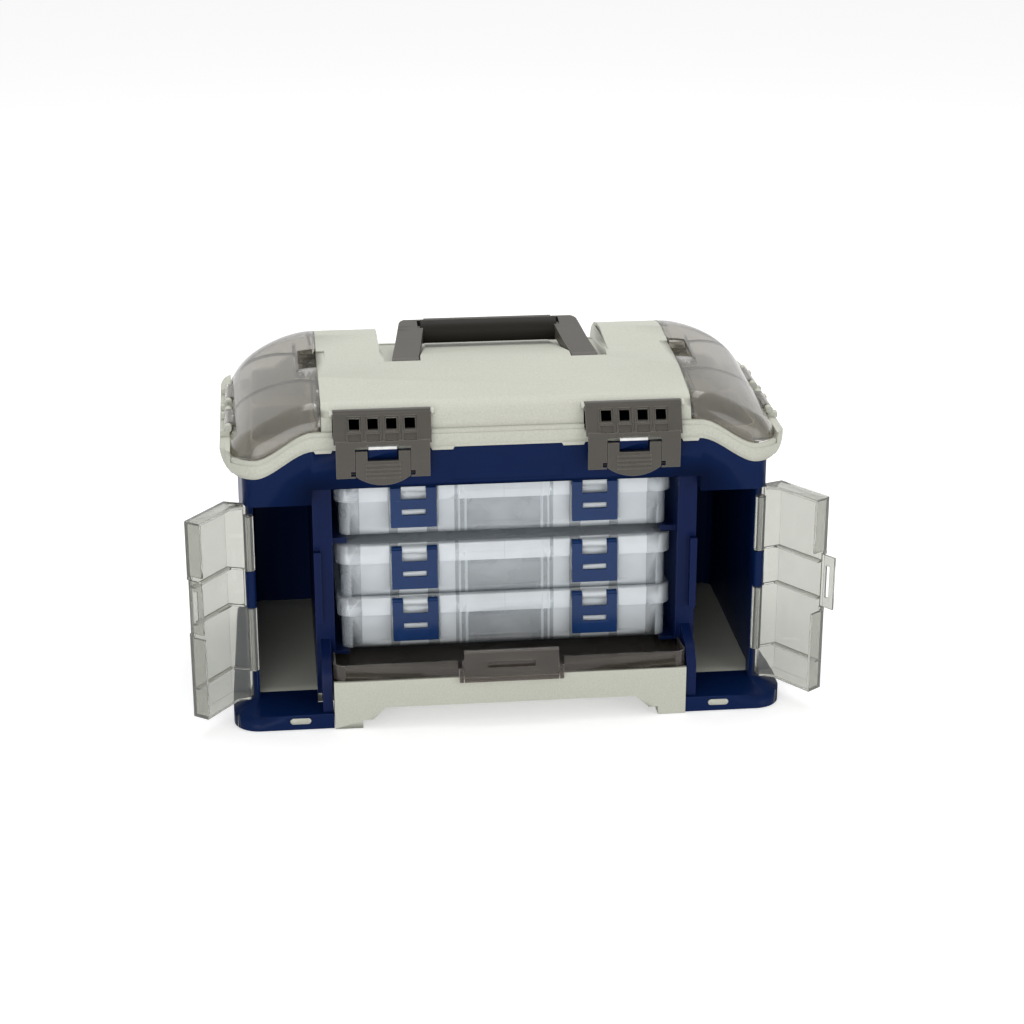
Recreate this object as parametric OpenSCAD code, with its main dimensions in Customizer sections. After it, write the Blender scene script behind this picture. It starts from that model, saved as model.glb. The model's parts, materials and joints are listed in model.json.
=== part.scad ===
// Fishing tackle cabinet with three slide-out utility boxes.
// Frame: X right, Y back, Z up, origin on the floor under the middle of the footprint.
// Drawn as it is used on a bench: lid shut, side doors open, front door slid away.

/* [Body] */
// Width of each side compartment, its side wall included
comp_w = 55.5; // [52:0.5:66]
// Free depth behind the boxes
back_room = 17; // [14:0.5:40]
// Height of the body's top edge at the middle
body_h = 233; // [231:1:245]
// Wall of the moulded body
wall = 3; // [2.5:0.1:3.4]
// Height of the foot band round the bottom
plinth_h = 13; // [12:0.5:14]
// How far the foot band stands in front of the front face
plinth_reach = 25; // [24:0.5:30]
// How far the foot band stands out beyond each side wall
plinth_side = 14; // [10:0.5:16]
// Corner radius of the foot band
plinth_r = 22; // [16:1:26]
// How far the pillars stand back from the front face
pillar_setback = 15; // [14.5:0.5:17]
// Top of the bay for the boxes
bay_top = 200; // [199:0.5:203]
// Top of the side compartments
comp_top = 187; // [182:1:190]
// How much lower the body's top edge is at its ends
end_drop = 22.5; // [18:0.5:24]

/* [Rack] */
// Play beside a box's lid in the bay
bay_play = 2.8; // [2:0.1:3.8]
// Width of each pillar
pillar_w = 16; // [15:0.5:18]
// Tilt of the boxes, fronts up
rack_tilt = 4; // [3:0.25:4.5]
// Thickness of a ledge
ledge_t = 2.6; // [2:0.1:2.8]
// How far a ledge reaches in under a box
ledge_hold = 5.5; // [3:0.5:10]

/* [Utility boxes] */
// Width of a box lid
box_w = 279.4; // [260:0.2:300]
// Depth of a box without its latches
box_d = 178; // [160:1:180]
// Height of a closed box
box_h = 44.5; // [42:0.25:44.6]
// Height of the lid's skirt
box_lid_h = 15.5; // [12:0.5:18]
// How far the tub's walls stand in from the lid's edge
tub_inset = 3.7; // [3:0.1:5]
// Wall of a box
box_wall = 1.6; // [1.2:0.1:2]
// Corner radius of a box
box_r = 9; // [6:0.5:12]
// Width of a box latch
box_latch_w = 38; // [30:1:44]
// Distance of each box latch from the middle
box_latch_x = 75; // [65:1:85]
// Height of a box latch
box_latch_h = 36; // [32:0.5:37]
// Space between the upper box and the middle box
upper_gap = 9; // [8:0.25:9.5]
// Space between the middle box and the lower box
lower_gap = 0.8; // [0.6:0.1:1.2]
// Height of the lower box's floor at its front
stack_z = 48.6; // [48.4:0.1:49.2]
// How far the boxes stand behind the pillars' front
box_back = 8; // [7:0.25:9.5]

/* [Base] */
// Height of the pale front panel's top edge
fascia_top = 41.6; // [40:0.2:42]
// Height of the arch between the front feet
arch_h = 17.5; // [14:0.5:20]
// Width of each front foot
foot_w = 23; // [18:0.5:28]
// How far the pale front panel stands in front of the foot band
fascia_proud = 2; // [1:0.25:3]
// Distance of each locking tab from its pillar
tab_off = 15; // [10:0.5:21]
// Length of a locking tab's oval nose
tab_len = 17; // [14:0.5:20]

/* [Front door] */
// How far the front door laps over the pillars
door_lap = 3; // [2:0.1:3.3]
// Length of the front door from its lip to its back edge
door_len = 150; // [130:1:155]
// Wall of the clear doors
door_wall = 2.2; // [1.8:0.1:2.6]
// Height of the front door's lip
lip_h = 13; // [11:0.2:15]
// Width of the front door's latch tab
lip_tab_w = 78; // [60:1:90]
// Height of the front door's latch tab
lip_tab_h = 27; // [24:0.5:30]

/* [Side doors] */
// Width of the side door's corner facet
facet_a = 23; // [20:0.5:24]
// Angle of the corner facet to the side wall
facet_angle = 15; // [10:1:18]
// Width of the side door's front facet
facet_b = 48; // [44:0.5:48.5]
// Depth of the side door's rim
door_rim = 14.5; // [12:0.5:14.7]
// Radius of the side door's hinge barrel
barrel_r = 4.2; // [3.8:0.1:4.4]
// How far the side doors stand open as drawn
door_open = 126.5; // [90:0.5:135]
// Width of the side door's latch tab
side_tab_w = 12; // [10:0.5:13]
// Height of the side door's latch tab
side_tab_h = 46; // [36:1:50]

/* [Lid] */
// Height of the lid's rim band
rim_h = 15; // [13:0.5:16]
// How far the rim stands out beyond the body's side walls
rim_side = 17; // [15:0.5:20]
// How far the rim stands out in front of the body
rim_front = 3; // [2.5:0.25:4]
// Height of the lid's crown above the rim band
crown_h = 32; // [29:0.5:36]
// Width of the pale middle of the lid between the clear covers
crown_w = 298; // [294:1:302]
// Wall of the lid
lid_wall = 3; // [2.5:0.1:3.2]
// Radius of the crown's front edge
crown_front_r = 20; // [16:1:22]
// Length of the crown's fall towards its back edge
crown_back_r = 61; // [50:1:66]
// Wall of the clear covers over the bins
cover_wall = 2.2; // [1.8:0.1:2.6]
// Depth of the bins under the clear covers
bin_depth = 24; // [18:0.5:25]

/* [Handle] */
// Width of the handle over its feet
handle_w = 172; // [160:1:176]
// Width of the handle at its bar
handle_bar_w = 154; // [140:1:160]
// Width of each arm of the handle
arm_w = 22; // [18:0.5:24]
// Thickness of each arm of the handle
arm_t = 9; // [7:0.25:9.5]
// Distance from the handle's pivot to the middle of its bar
handle_reach = 65; // [60:0.5:67]
// Diameter of the handle's grip
grip_dia = 20; // [16:0.5:20.5]

/* [Main latches] */
// Distance of each main latch from the middle
latch_x = 101; // [96:0.5:102]
// Width of a main latch's hinged top
comb_w = 78; // [72:1:80]
// Width of a main latch's flat panel
panel_w = 75; // [70:1:76]
// Thickness of a main latch
latch_t = 3; // [2.5:0.1:3.4]
// Height of a main latch's lower edge
latch_bottom = 213; // [210:0.5:216]
// Width of the thumb lever
lever_w = 43.5; // [38:0.5:46]
// Width of the thumb lever's window
window_w = 25; // [20:0.5:28]

/* [Pins] */
// Radius of the hinge pins
pin_r = 1.5; // [1.2:0.1:1.6]
// Running clearance between a pin and its bore, on the radius
pin_gap = 0.08; // [0.05:0.01:0.1]
// Clearance of a pin in the lug that holds it, on the radius
hold_gap = 0.02; // [0.01:0.01:0.04]
// Clearance between parts that sit side by side
gap = 0.5; // [0.4:0.05:0.6]

/* [Hidden] */
$fn = 48;
eps = 0.01;

// Body planes
body_d = pillar_setback + box_back + box_d + back_room + wall;
y_front = -(body_d + plinth_reach) / 2 + plinth_reach;
y_back = y_front + body_d;
y_plinth = y_front - plinth_reach;
y_pillar = y_front + pillar_setback;
bay_half = box_w / 2 + bay_play;
pillar_out = bay_half + pillar_w;
half_w = pillar_out + comp_w;
plinth_half = half_w + plinth_side;
door_w = 2 * (bay_half + door_lap);
ledge_in = box_w / 2 - tub_inset - ledge_hold;   // inner edge of a ledge
screw_x = bay_half + 7.5;     // distance of the rack's screws from the middle
tub_floor = bay_top + wall;
wall_end = 8;                 // thickness of the side wall at its front end
spread = 6;                   // how much wider each side of the body is at the back
body_r = 11;                  // radius of the body's upright corners
inner_r = body_r - wall;
y_room = y_pillar + wall_end; // front of the hollow between the side walls
end_flat = half_w - 59;       // half width over which the top edge is level
end_low = half_w - 9;         // half width from which the top edge is at its lowest
bay_slot = door_w / 2 + 1.2;  // half width of the room for the front door

// Box stack, along the rack's tilt
y_stack = y_pillar + box_back;
pitch_low = box_h + lower_gap;
pitch_up = box_h + upper_gap;
box_drop = [pitch_low + pitch_up, pitch_low, 0];
front_pad = 5;                // room that a box's latches take in front of it
box_latch_t = 2.4;
box_hinge_r = 1.9;
lug_w = 20;                   // width of the lid's lug between a latch's two ears
pad_xs = [[41, 54], [96, 119]]; // raised panels on a box's front, as distances from its middle
pad_low = 7;                  // lower edge of the raised panels
rib_xs = [32, 37];            // ribs on a box's front, as distances from its middle
rib_t = 1.2;
label_half = 30;              // half width of the place for a label
cell_walls = [-1, 0, 1];      // loose dividers in each box, counted from the middle
cell_pitch = box_w / 4 - 1.85;

// Front door, along the rack's tilt
lip_z = fascia_top + 0.6;      // underside of the stored door over the front panel
door_z = stack_z + (lip_z - stack_z - (y_stack - y_plinth) * sin(rack_tilt)) / cos(rack_tilt);
tab_t = 1.8;
lip_pin_r = 0.9;
lip_barrel_r = 1.9;
lip_pin_y = y_plinth - fascia_proud - lip_barrel_r - 0.2;
lip_pin_z = door_z - 2.6;
slot_half = 19.7;
tab_x = pillar_out + tab_off;
pivot_pin_r = 2.2;
pivot_pin_len = 2.6;

// Side doors
hinge_x = half_w - barrel_r + 0.2;
hinge_y = y_pillar - wall - barrel_r - 0.6;
door_z0 = plinth_h + 3;
door_z1 = comp_top - 0.4;
rib_z = [41, 97.5, 130];      // heights of the side door's ribs
barrel_low = [rib_z[0], rib_z[1]];
barrel_high = [rib_z[2], comp_top - 9];
notch_z = [86, 140];          // cut-out of the door's rim round its tab
tab_pin_r = 1.3;

// Lid
rim_z = body_h + 0.5;
rim_top = rim_z + rim_h;
crown_top = rim_top + crown_h;
rim_half = half_w + rim_side;
rim_y0 = y_front - rim_front;
rim_y1 = y_back + rim_front;
rim_r = 36;                   // corner radius of the rim seen from above
rim_end_r = 21;               // corner radius of the rim seen from the front
rim_t = 9;
rim_top_r = 5;                // radius of the rim's upper outer edge at its sides
lip_t = 3.2;                  // height of the rim's lower lip
bead_t = 3.4;                 // height of the rim's upper bead
crown_back_h = 30;            // height of the crown's fall towards its back edge
step_back = 62;               // where the crown's front slope meets its flatter top
step_low = 6;
lid_knuckle_r = 6;
crown_half = crown_w / 2;
crown_y0 = y_front + 2;
crown_y1 = y_back - 2;
cover_half = rim_half - rim_t;
rim_front_t = 4.4;            // thickness of the rim's front and back
cover_r = 24;                 // corner radius of the covers seen from above
end_out = 3;                  // how far the crown's rounded end goes on past the covers' edge
end_rx = cover_half - crown_half + end_out + 2;   // half axes of the crown's rounded ends
end_rz = 61;
lid_pin_y = y_back + rim_front + lid_knuckle_r + 0.6;
lid_pin_z = rim_z + 2;
lid_pin_r = 2.5;
hinge_xs = [-110, 110];       // places of the lid's two rear hinges
hinge_len = 46;

// Covers
cover_pin_x = cover_half + 1.5;
cover_pin_z = crown_top - end_rz + end_rz * sqrt(1 - pow(1 - end_out / end_rx, 2)) + 1.5;
cover_pin_r = 1.2;
side_top = cover_pin_z - 6; // top of the rim beside the covers
cover_knuckle_r = 3;
cover_knuckles = [-25, 41];   // middles of the cover's hinge barrels along Y
cover_knuckle_len = 34;
cover_split = gap;
x_seam = crown_half + cover_split;
snap_y = [-13, 30];           // recess round each cover's snap
snap_w = 15;

// Bins under the covers
bin_x0 = crown_half + gap;
bin_x1 = cover_half - 16;
bin_y0 = crown_y0 + 9;
bin_y1 = crown_y1 - 14;
bin_top = rim_top - 10.5;
bin_wall = 2;
bin_flange = 4;
bin_r = 14;
outer_ledge = rim_top - 25.5;

// Handle
handle_back = 101;            // distance of the handle's pivot behind the front face
handle_sink = 10;             // depth of the handle's pivot under the crown's top
handle_pivot_y = y_front + handle_back;
handle_pivot_z = crown_top - handle_sink;
handle_fold = 8;              // degrees that the folded handle rises towards its bar
foot_room = 1.2;              // room at each foot's inner side in its pocket
pocket_side = 7;              // room beside each foot in its pocket
handle_foot_r = 6;
bar_y = handle_reach + 11;    // far face of the bar behind the grip
bar_z = 7.4;                  // top of the bar
bar_end_r = 11;               // corner radius where an arm bends into the bar
handle_pin_r = 2.5;
recess_wall = 96;             // half width of the recess at its top
recess_depth = 16;

// Main latches
function slant_y(z) = comb_low[0] - 2 + (z - comb_low[1]) / (latch_pivot_z - comb_low[1])
    * (latch_pivot_y - latch_barrel_r - comb_low[0] + 2);
latch_pivot_y = y_front + 3;
latch_pivot_z = rim_top + 14.5;
latch_barrel_r = 3.2;
comb_low = [y_front - 9, rim_z + 9.5];   // where the slanted top meets the flat panel
panel_y = y_front - 10.5;                // middle plane of the flat panel
lever_pivot_z = latch_bottom + 3.5;
lever_top = comb_low[1] - 4.5;
window_low = lever_pivot_z + 10.5;
lever_shoulder = 3.4;         // dark gap over the lever's shoulders
pivot_hole = 4;               // side of the square hole at each of the lever's pivots
lever_sweep_r = 35;           // radius of the lever's lower edge
comb_mid = latch_pivot_z - 13.5;         // sill between the comb's windows and lower cells
comb_windows = 4;
comb_window_w = 8.4;
comb_pitch = 14.8;
lug_t = 2.5;
latch_lug_r = latch_barrel_r - 0.6;
tab_xs = [[latch_x - comb_w / 2 - 19, latch_x - comb_w / 2 + 0.6],
    [latch_x + comb_w / 2 + 0.6, latch_x + comb_w / 2 + 16]];

// ---------- outlines ----------

function ease(u) = u <= 0 ? 0 : u >= 1 ? 1 : u * u * (3 - 2 * u);

// Height of the wavy line under the lid at a distance x from the middle
function wave(x) = -end_drop * ease((abs(x) - end_flat) / (end_low - end_flat));

function arc(cx, cy, rx, ry, a0, a1, n) =
    [for (i = [0:n]) [cx + rx * cos(a0 + (a1 - a0) * i / n), cy + ry * sin(a0 + (a1 - a0) * i / n)]];

// Distances at which every wavy edge bends, the same for all of them so that gaps stay even
wave_steps = 12;
wave_knots = [for (i = [0:wave_steps]) end_flat + (end_low - end_flat) * i / wave_steps];
wave_xs = concat([for (i = [0:wave_steps]) -wave_knots[wave_steps - i]], wave_knots);

// Wavy edge from the lower x0 to the higher x1
function wave_line(x0, x1, z) = concat([[x0, z + wave(x0)]],
    [for (x = wave_xs) if (x > x0 + eps && x < x1 - eps) [x, z + wave(x)]], [[x1, z + wave(x1)]]);
function reversed(l) = [for (i = [1:len(l)]) l[len(l) - i]];

// Side view of the crown's skin from the front round to the back, inset by t
function crown_line(t) = concat(
    arc(crown_y0 + crown_front_r, rim_top, crown_front_r - t, crown_front_r - t, 180, 100, 7),
    [[crown_y0 + step_back, crown_top - step_low - t]],
    arc(crown_y1 - crown_back_r, crown_top - crown_back_h, crown_back_r - t,
        crown_back_h - t, 90, 0, 10));
function crown_side(t, z0) = concat([[crown_y0 + t, z0]], crown_line(t), [[crown_y1 - t, z0]]);

module across_x(x0, x1) translate([x0, 0, 0]) rotate([90, 0, 90]) linear_extrude(x1 - x0) children();
module across_y(y0, y1) translate([0, y1, 0]) rotate([90, 0, 0]) linear_extrude(y1 - y0) children();
module block(x0, x1, y0, y1, z0, z1) translate([x0, y0, z0]) cube([x1 - x0, y1 - y0, z1 - z0]);
module rod_x(x0, x1, y, z, r) translate([x0, y, z]) rotate([0, 90, 0]) cylinder(h = x1 - x0, r = r);
module rod_y(x, y0, y1, z, r) translate([x, y0, z]) rotate([-90, 0, 0]) cylinder(h = y1 - y0, r = r);
module rod_z(x, y, z0, z1, r) translate([x, y, z0]) cylinder(h = z1 - z0, r = r);
module both_sides() for (side = [0, 1]) mirror([side, 0, 0]) children();

// Plan of a rectangle with round corners
module round_rect(x0, x1, y0, y1, r) {
    for (x = [x0 + r, x1 - r], y = [y0 + r, y1 - r]) translate([x, y]) circle(r);
    translate([x0 + r, y0]) square([x1 - x0 - 2 * r, y1 - y0]);
    translate([x0, y0 + r]) square([x1 - x0, y1 - y0 - 2 * r]);
}
module round_block(x0, x1, y0, y1, z0, z1, r)
    translate([0, 0, z0]) linear_extrude(z1 - z0) round_rect(x0, x1, y0, y1, r);

// Turns what is drawn for a level rack to the rack's tilt
module tilted() translate([0, y_stack, stack_z]) rotate([-rack_tilt, 0, 0])
    translate([0, -y_stack, -stack_z]) children();

// ---------- body ----------

module body_outline() across_y(y_front, y_back) polygon(concat(
    [[-half_w - spread, plinth_h - 1]], wave_line(-half_w - spread, half_w + spread, body_h),
    [[half_w + spread, plinth_h - 1]]));

// The side walls spread a little towards the back
module body_plan() {
    round_block(-half_w, half_w, y_front, y_back, 0, body_h + 5, body_r);
    both_sides() {
        rod_z(half_w + spread - body_r, y_back - body_r, 0, body_h + 5, body_r);
        linear_extrude(body_h + 5) polygon([[0, y_front + body_r], [half_w, y_front + body_r],
            [half_w + spread, y_back - body_r], [half_w + spread - body_r, y_back], [0, y_back]]);
    }
}

// Hollow above the bay, open to the lid, with deeper pockets at its ends
module upper_tub() {
    round_block(-half_w + wall, half_w - wall, y_front + wall, y_back - wall,
        tub_floor, body_h + 1, inner_r);
    both_sides() intersection() {
        round_block(-half_w + wall, half_w - wall, y_front + wall, y_back - wall,
            comp_top + wall, body_h + 1, inner_r);
        block(pillar_out + wall, half_w, y_front, y_back, comp_top, body_h + 2);
    }
}

module foot_band() difference() {
    round_block(-plinth_half, plinth_half, y_plinth, y_back, 0, plinth_h, plinth_r);
    // underside, left open inside the band
    block(-plinth_half + wall, plinth_half - wall, y_plinth + wall + plinth_r / 3, y_back - wall,
        -1, plinth_h - wall);
    both_sides() block(door_w / 2 - eps, plinth_half - plinth_r, y_plinth + wall,
        y_plinth + plinth_r, -1, plinth_h - wall);
    // seat of the base pan and room for its front panel
    block(-half_w + wall, half_w - wall, y_room, y_back - wall, -1, plinth_h + 1);
    block(-pillar_out, pillar_out, y_pillar, y_back - wall, -1, plinth_h + 1);
    block(-door_w / 2 - gap, door_w / 2 + gap, y_plinth - 1, y_pillar + 1, -1, plinth_h + 1);
    // slots for the locking tabs
    both_sides() tab_nose(tab_x, y_plinth - 1, y_plinth + wall + 1, gap / 2);
}

module tab_nose(x, y0, y1, grow) {
    r = 2.5 + grow;
    across_y(y0, y1) {
        translate([x - tab_len / 2 + 2.5, plinth_h - 5.5]) circle(r);
        translate([x + tab_len / 2 - 2.5, plinth_h - 5.5]) circle(r);
        translate([x - tab_len / 2 + 2.5, plinth_h - 5.5 - r]) square([tab_len - 5, 2 * r]);
    }
}

// Block on the body's front that a thumb lever's window drops over
module catch_block(x) {
    block(x - window_w / 2 + 1, x + window_w / 2 - 1, rim_y0 - 5.3, y_front + eps,
        window_low + 1.5, body_h - 0.5);
    block(x - window_w / 2 + 1, x + window_w / 2 - 1, rim_y0 - 5.3, rim_y0 - 1.3,
        body_h - 1, lever_top - 3.2);
}

module lid_knuckle(x0, x1) difference() {
    union() {
        rod_x(x0, x1, lid_pin_y, lid_pin_z, lid_knuckle_r);
        block(x0, x1, y_back - eps, lid_pin_y, lid_pin_z - lid_knuckle_r - 8, lid_pin_z - 3);
    }
    rod_x(x0 - 1, x1 + 1, lid_pin_y, lid_pin_z, lid_pin_r + hold_gap);
    block(x0 - 1, x1 + 1, y_back - 20, y_back, lid_pin_z - 20, lid_pin_z + 20);
}

module body_shell() color("#14285a") {
    difference() {
        union() {
            intersection() {
                body_outline();
                body_plan();
            }
            foot_band();
            for (x = hinge_xs) lid_knuckle(x - hinge_len / 2, x - hinge_len / 6);
            for (x = hinge_xs) lid_knuckle(x + hinge_len / 6, x + hinge_len / 2);
            for (x = [-latch_x, latch_x]) catch_block(x);
        }
        upper_tub();
        // bay and side compartments
        block(-pillar_out, pillar_out, y_front - 1, y_back - wall, -1, bay_top);
        round_block(-half_w + wall, half_w - wall, y_room, y_back - wall, -1, comp_top, inner_r);
        both_sides() {
            block(pillar_out - eps, half_w - wall_end, y_pillar - wall, y_back - wall, plinth_h,
                comp_top);
            block(pillar_out - eps, half_w + 1, y_front - 1, y_pillar - wall, plinth_h, comp_top);
            // slope that the open door's hinge side swings over
            translate([0, 0, plinth_h]) linear_extrude(comp_top - plinth_h) polygon([
                [half_w - 7, y_pillar - wall - 1], [half_w - 6, y_pillar - wall],
                [half_w + 1, y_pillar + 2], [half_w + 1, y_pillar - wall - 1]]);
        }
        // shallow panel above the bay where the front door's tab closes
        block(-45, 45, y_front - 1, y_front + 0.8, bay_top + 4, bay_top + 15);
    }
    both_sides() body_knuckle();
}

// The body's part of a side door's hinge, between the door's two barrels
module body_knuckle() difference() {
    union() {
        rod_z(hinge_x, hinge_y, barrel_low[1] + gap, barrel_high[0] - gap, barrel_r);
        block(hinge_x - barrel_r, hinge_x + barrel_r - 0.4, hinge_y, y_pillar - wall + eps,
            barrel_low[1] + gap, barrel_high[0] - gap);
    }
    rod_z(hinge_x, hinge_y, 0, body_h, pin_r + hold_gap);
}

// ---------- base ----------

module fascia() {
    y0 = y_plinth - fascia_proud;
    half = door_w / 2;
    difference() {
        across_y(y0, y0 + wall) polygon([
            [-half, 0], [-half + foot_w, 0], [-half + foot_w, arch_h * 0.4],
            [-half + foot_w + 8, arch_h * 0.4], [-half + foot_w + 19, arch_h],
            [half - foot_w - 19, arch_h], [half - foot_w - 8, arch_h * 0.4],
            [half - foot_w, arch_h * 0.4], [half - foot_w, 0], [half, 0],
            [half, fascia_top], [-half, fascia_top]]);
    }
    both_sides() block(half - foot_w, half, y0, y0 + 24, 0, arch_h * 0.75);
    block(-half, half, y0, y_pillar, arch_h, arch_h + wall);
    both_sides() across_x(half - wall, half) polygon([[y0, arch_h], [y_pillar, arch_h],
        [y_pillar, fascia_top - 8], [y0, fascia_top - 0.4]]);
    block(-half, half, y_pillar, y_pillar + wall, plinth_h - wall, arch_h + wall);
}

module base_pan() color("#c9cac0") {
    difference() {
        union() {
            round_block(-half_w + wall + gap, half_w - wall - gap, y_room + gap,
                y_back - wall - gap, plinth_h - wall, plinth_h, inner_r);
            block(-pillar_out + gap, pillar_out - gap, y_pillar + gap, y_back - 20,
                plinth_h - wall, plinth_h);
            fascia();
            for (x = [-80, 0, 80]) block(x - 2, x + 2, y_pillar + 6, y_back - 10, 0, plinth_h - 2);
            for (y = [y_pillar + 12, y_back - 14]) block(8 - half_w + wall, half_w - wall - 8, y,
                y + 4, 0, plinth_h - 2);
        }
        for (x = [-screw_x, screw_x], y = screw_ys) rod_z(x, y, -1, plinth_h + 1, pin_r + pin_gap);
    }
    both_sides() {
        block(tab_x - tab_len / 2, tab_x + tab_len / 2, y_plinth + wall + 0.4, y_room + 4,
            plinth_h - 6, plinth_h - wall - 0.6);
        block(tab_x - tab_len / 2, tab_x + tab_len / 2, y_room + gap, y_room + 8,
            plinth_h - 6, plinth_h - wall + eps);
        tab_nose(tab_x, y_plinth - 0.2, y_plinth + wall + 1, 0);
    }
}

screw_ys = [y_pillar + 22, y_back - 30];

module base_screws() color("#8a8d90") for (x = [-screw_x, screw_x], y = screw_ys) {
    rod_z(x, y, plinth_h - wall - 2, plinth_h + 8, pin_r);
    rod_z(x, y, plinth_h - wall - 3.4, plinth_h - wall - eps, 3.2);
}

// ---------- rack ----------

module rack_wall() {
    z_top = bay_top - gap;
    ledge_z = stack_z - 0.3;
    difference() {
        union() {
            block(pillar_out - wall, pillar_out - 0.3, y_pillar, y_back - wall - gap,
                plinth_h + 0.3, z_top);
            block(bay_half, bay_half + wall, y_pillar, y_back - wall - gap, stack_z, z_top);
            block(bay_slot, bay_slot + wall, y_pillar, y_back - wall - gap, plinth_h + 0.3,
                stack_z + wall);
            block(bay_half, pillar_out - 0.3, y_pillar, y_pillar + wall, stack_z, z_top);
            block(bay_slot, pillar_out - 0.3, y_pillar, y_pillar + wall, plinth_h + 0.3,
                stack_z + wall);
            // webs that tie the inner and the outer walls
            block(min(bay_half, bay_slot), pillar_out - 0.3, y_pillar, y_back - wall - gap,
                stack_z, stack_z + wall);
            block(bay_slot, pillar_out - 0.3, y_pillar, y_back - wall - gap, plinth_h + 0.3,
                plinth_h + wall);
            // cheek beside the front door's lip
            across_x(bay_slot, bay_slot + 8) polygon([[y_pillar + 1, plinth_h + 0.3],
                [y_plinth + 3, plinth_h + 0.3], [y_plinth + 3, fascia_top],
                [y_plinth + 14, fascia_top + 14], [y_pillar + 1, fascia_top + 22]]);
            // stop for the side door's tab
            block(pillar_out - 6, pillar_out - 0.3, y_pillar - 7, y_pillar + 1, notch_z[0] - 6,
                notch_z[1] + 2);
            // ledges under the upper and the lower box
            tilted() {
                block(ledge_in, bay_half + wall, y_pillar + 6, y_stack + box_d - 12,
                    ledge_z - ledge_t, ledge_z);
                block(ledge_in, bay_half + wall, y_pillar + 6, y_stack + box_d - 12,
                    ledge_z + box_drop[0] - ledge_t - 2, ledge_z + box_drop[0]);
            }
        }
        // the ledges end short of the front face, and the groove guides the door's pins
        tilted() block(bay_slot - 1, bay_slot + wall + 1, y_plinth + 30, y_back,
            door_z + door_wall / 2 - pivot_pin_r - 0.3, door_z + door_wall / 2 + pivot_pin_r + 0.3);
        for (y = screw_ys) rod_z(screw_x, y, plinth_h - 1, plinth_h + 9, pin_r + hold_gap);
    }
    for (y = screw_ys) difference() {
        rod_z(screw_x, y, plinth_h + 0.3, plinth_h + 10, 3.4);
        rod_z(screw_x, y, plinth_h - 1, plinth_h + 9, pin_r + hold_gap);
    }
}

module rack_left() color("#1a2f63") mirror([1, 0, 0]) rack_wall();
module rack_right() color("#1a2f63") rack_wall();

// Screws through the body's ceiling into the racks
module rack_screws() color("#8a8d90") both_sides() for (y = screw_ys)
    rod_z(pillar_out - pillar_w / 2, y, bay_top + wall, bay_top + wall + 1.6, 3.2);

// ---------- utility boxes ----------

module box_place(drop) tilted() translate([0, y_stack, stack_z + drop]) children();

module tub(drop) color("#dfe6ea", 0.5) box_place(drop) {
    half = box_w / 2 - tub_inset;
    z1 = box_h - box_lid_h / 2;
    difference() {
        union() {
            round_block(-half, half, tub_inset, box_d - tub_inset, 0, z1, box_r);
            // flat bosses behind the two latches
            for (x = [-box_latch_x, box_latch_x]) block(x - box_latch_w / 2,
                x + box_latch_w / 2, 1.2, tub_inset + 2, 4, z1 - 2);
        }
        round_block(-half + box_wall, half - box_wall, tub_inset + box_wall,
            box_d - tub_inset - box_wall, box_wall, z1 + 1, box_r - box_wall);
        for (x = [-box_latch_x, box_latch_x]) block(x - box_latch_w / 2 - 1, x + box_latch_w / 2 + 1,
            0, 1.8, box_h - box_lid_h, z1);
    }
    // raised frosted panels beside the latches, ribs and the frame of the label's place
    for (side = [-1, 1]) {
        for (x = pad_xs) block(min(side * x[0], side * x[1]), max(side * x[0], side * x[1]),
            tub_inset - 1, tub_inset + 1, pad_low, box_h - box_lid_h + 1);
        for (x = rib_xs) block(side * x - rib_t / 2, side * x + rib_t / 2, tub_inset - 1.3,
            tub_inset + 1, pad_low - 2.5, box_h - box_lid_h + 1);
    }
    difference() {
        block(-label_half - rib_t, label_half + rib_t, tub_inset - 0.7, tub_inset + 1, pad_low - 1,
            box_h - box_lid_h + 1);
        block(-label_half, label_half, tub_inset - 2, tub_inset + eps, pad_low + 1,
            box_h - box_lid_h - 4);
    }
    // catches that snap into the latches' slots
    for (x = [-box_latch_x, box_latch_x]) block(x - 9.5, x + 9.5, -3, 2, 18, 22);
    // rear knuckles for the hinge rod
    for (x = [-70, 0, 70]) difference() {
        union() {
            rod_x(x - 14, x - 0.4, box_d + 0.6, z1 - 3, 2.6);
            block(x - 14, x - 0.4, box_d - tub_inset - 1, box_d + 0.6, z1 - 5, z1 - 2.6);
        }
        rod_x(x - 15, x + 1, box_d + 0.6, z1 - 3, 1);
    }
}

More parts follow.
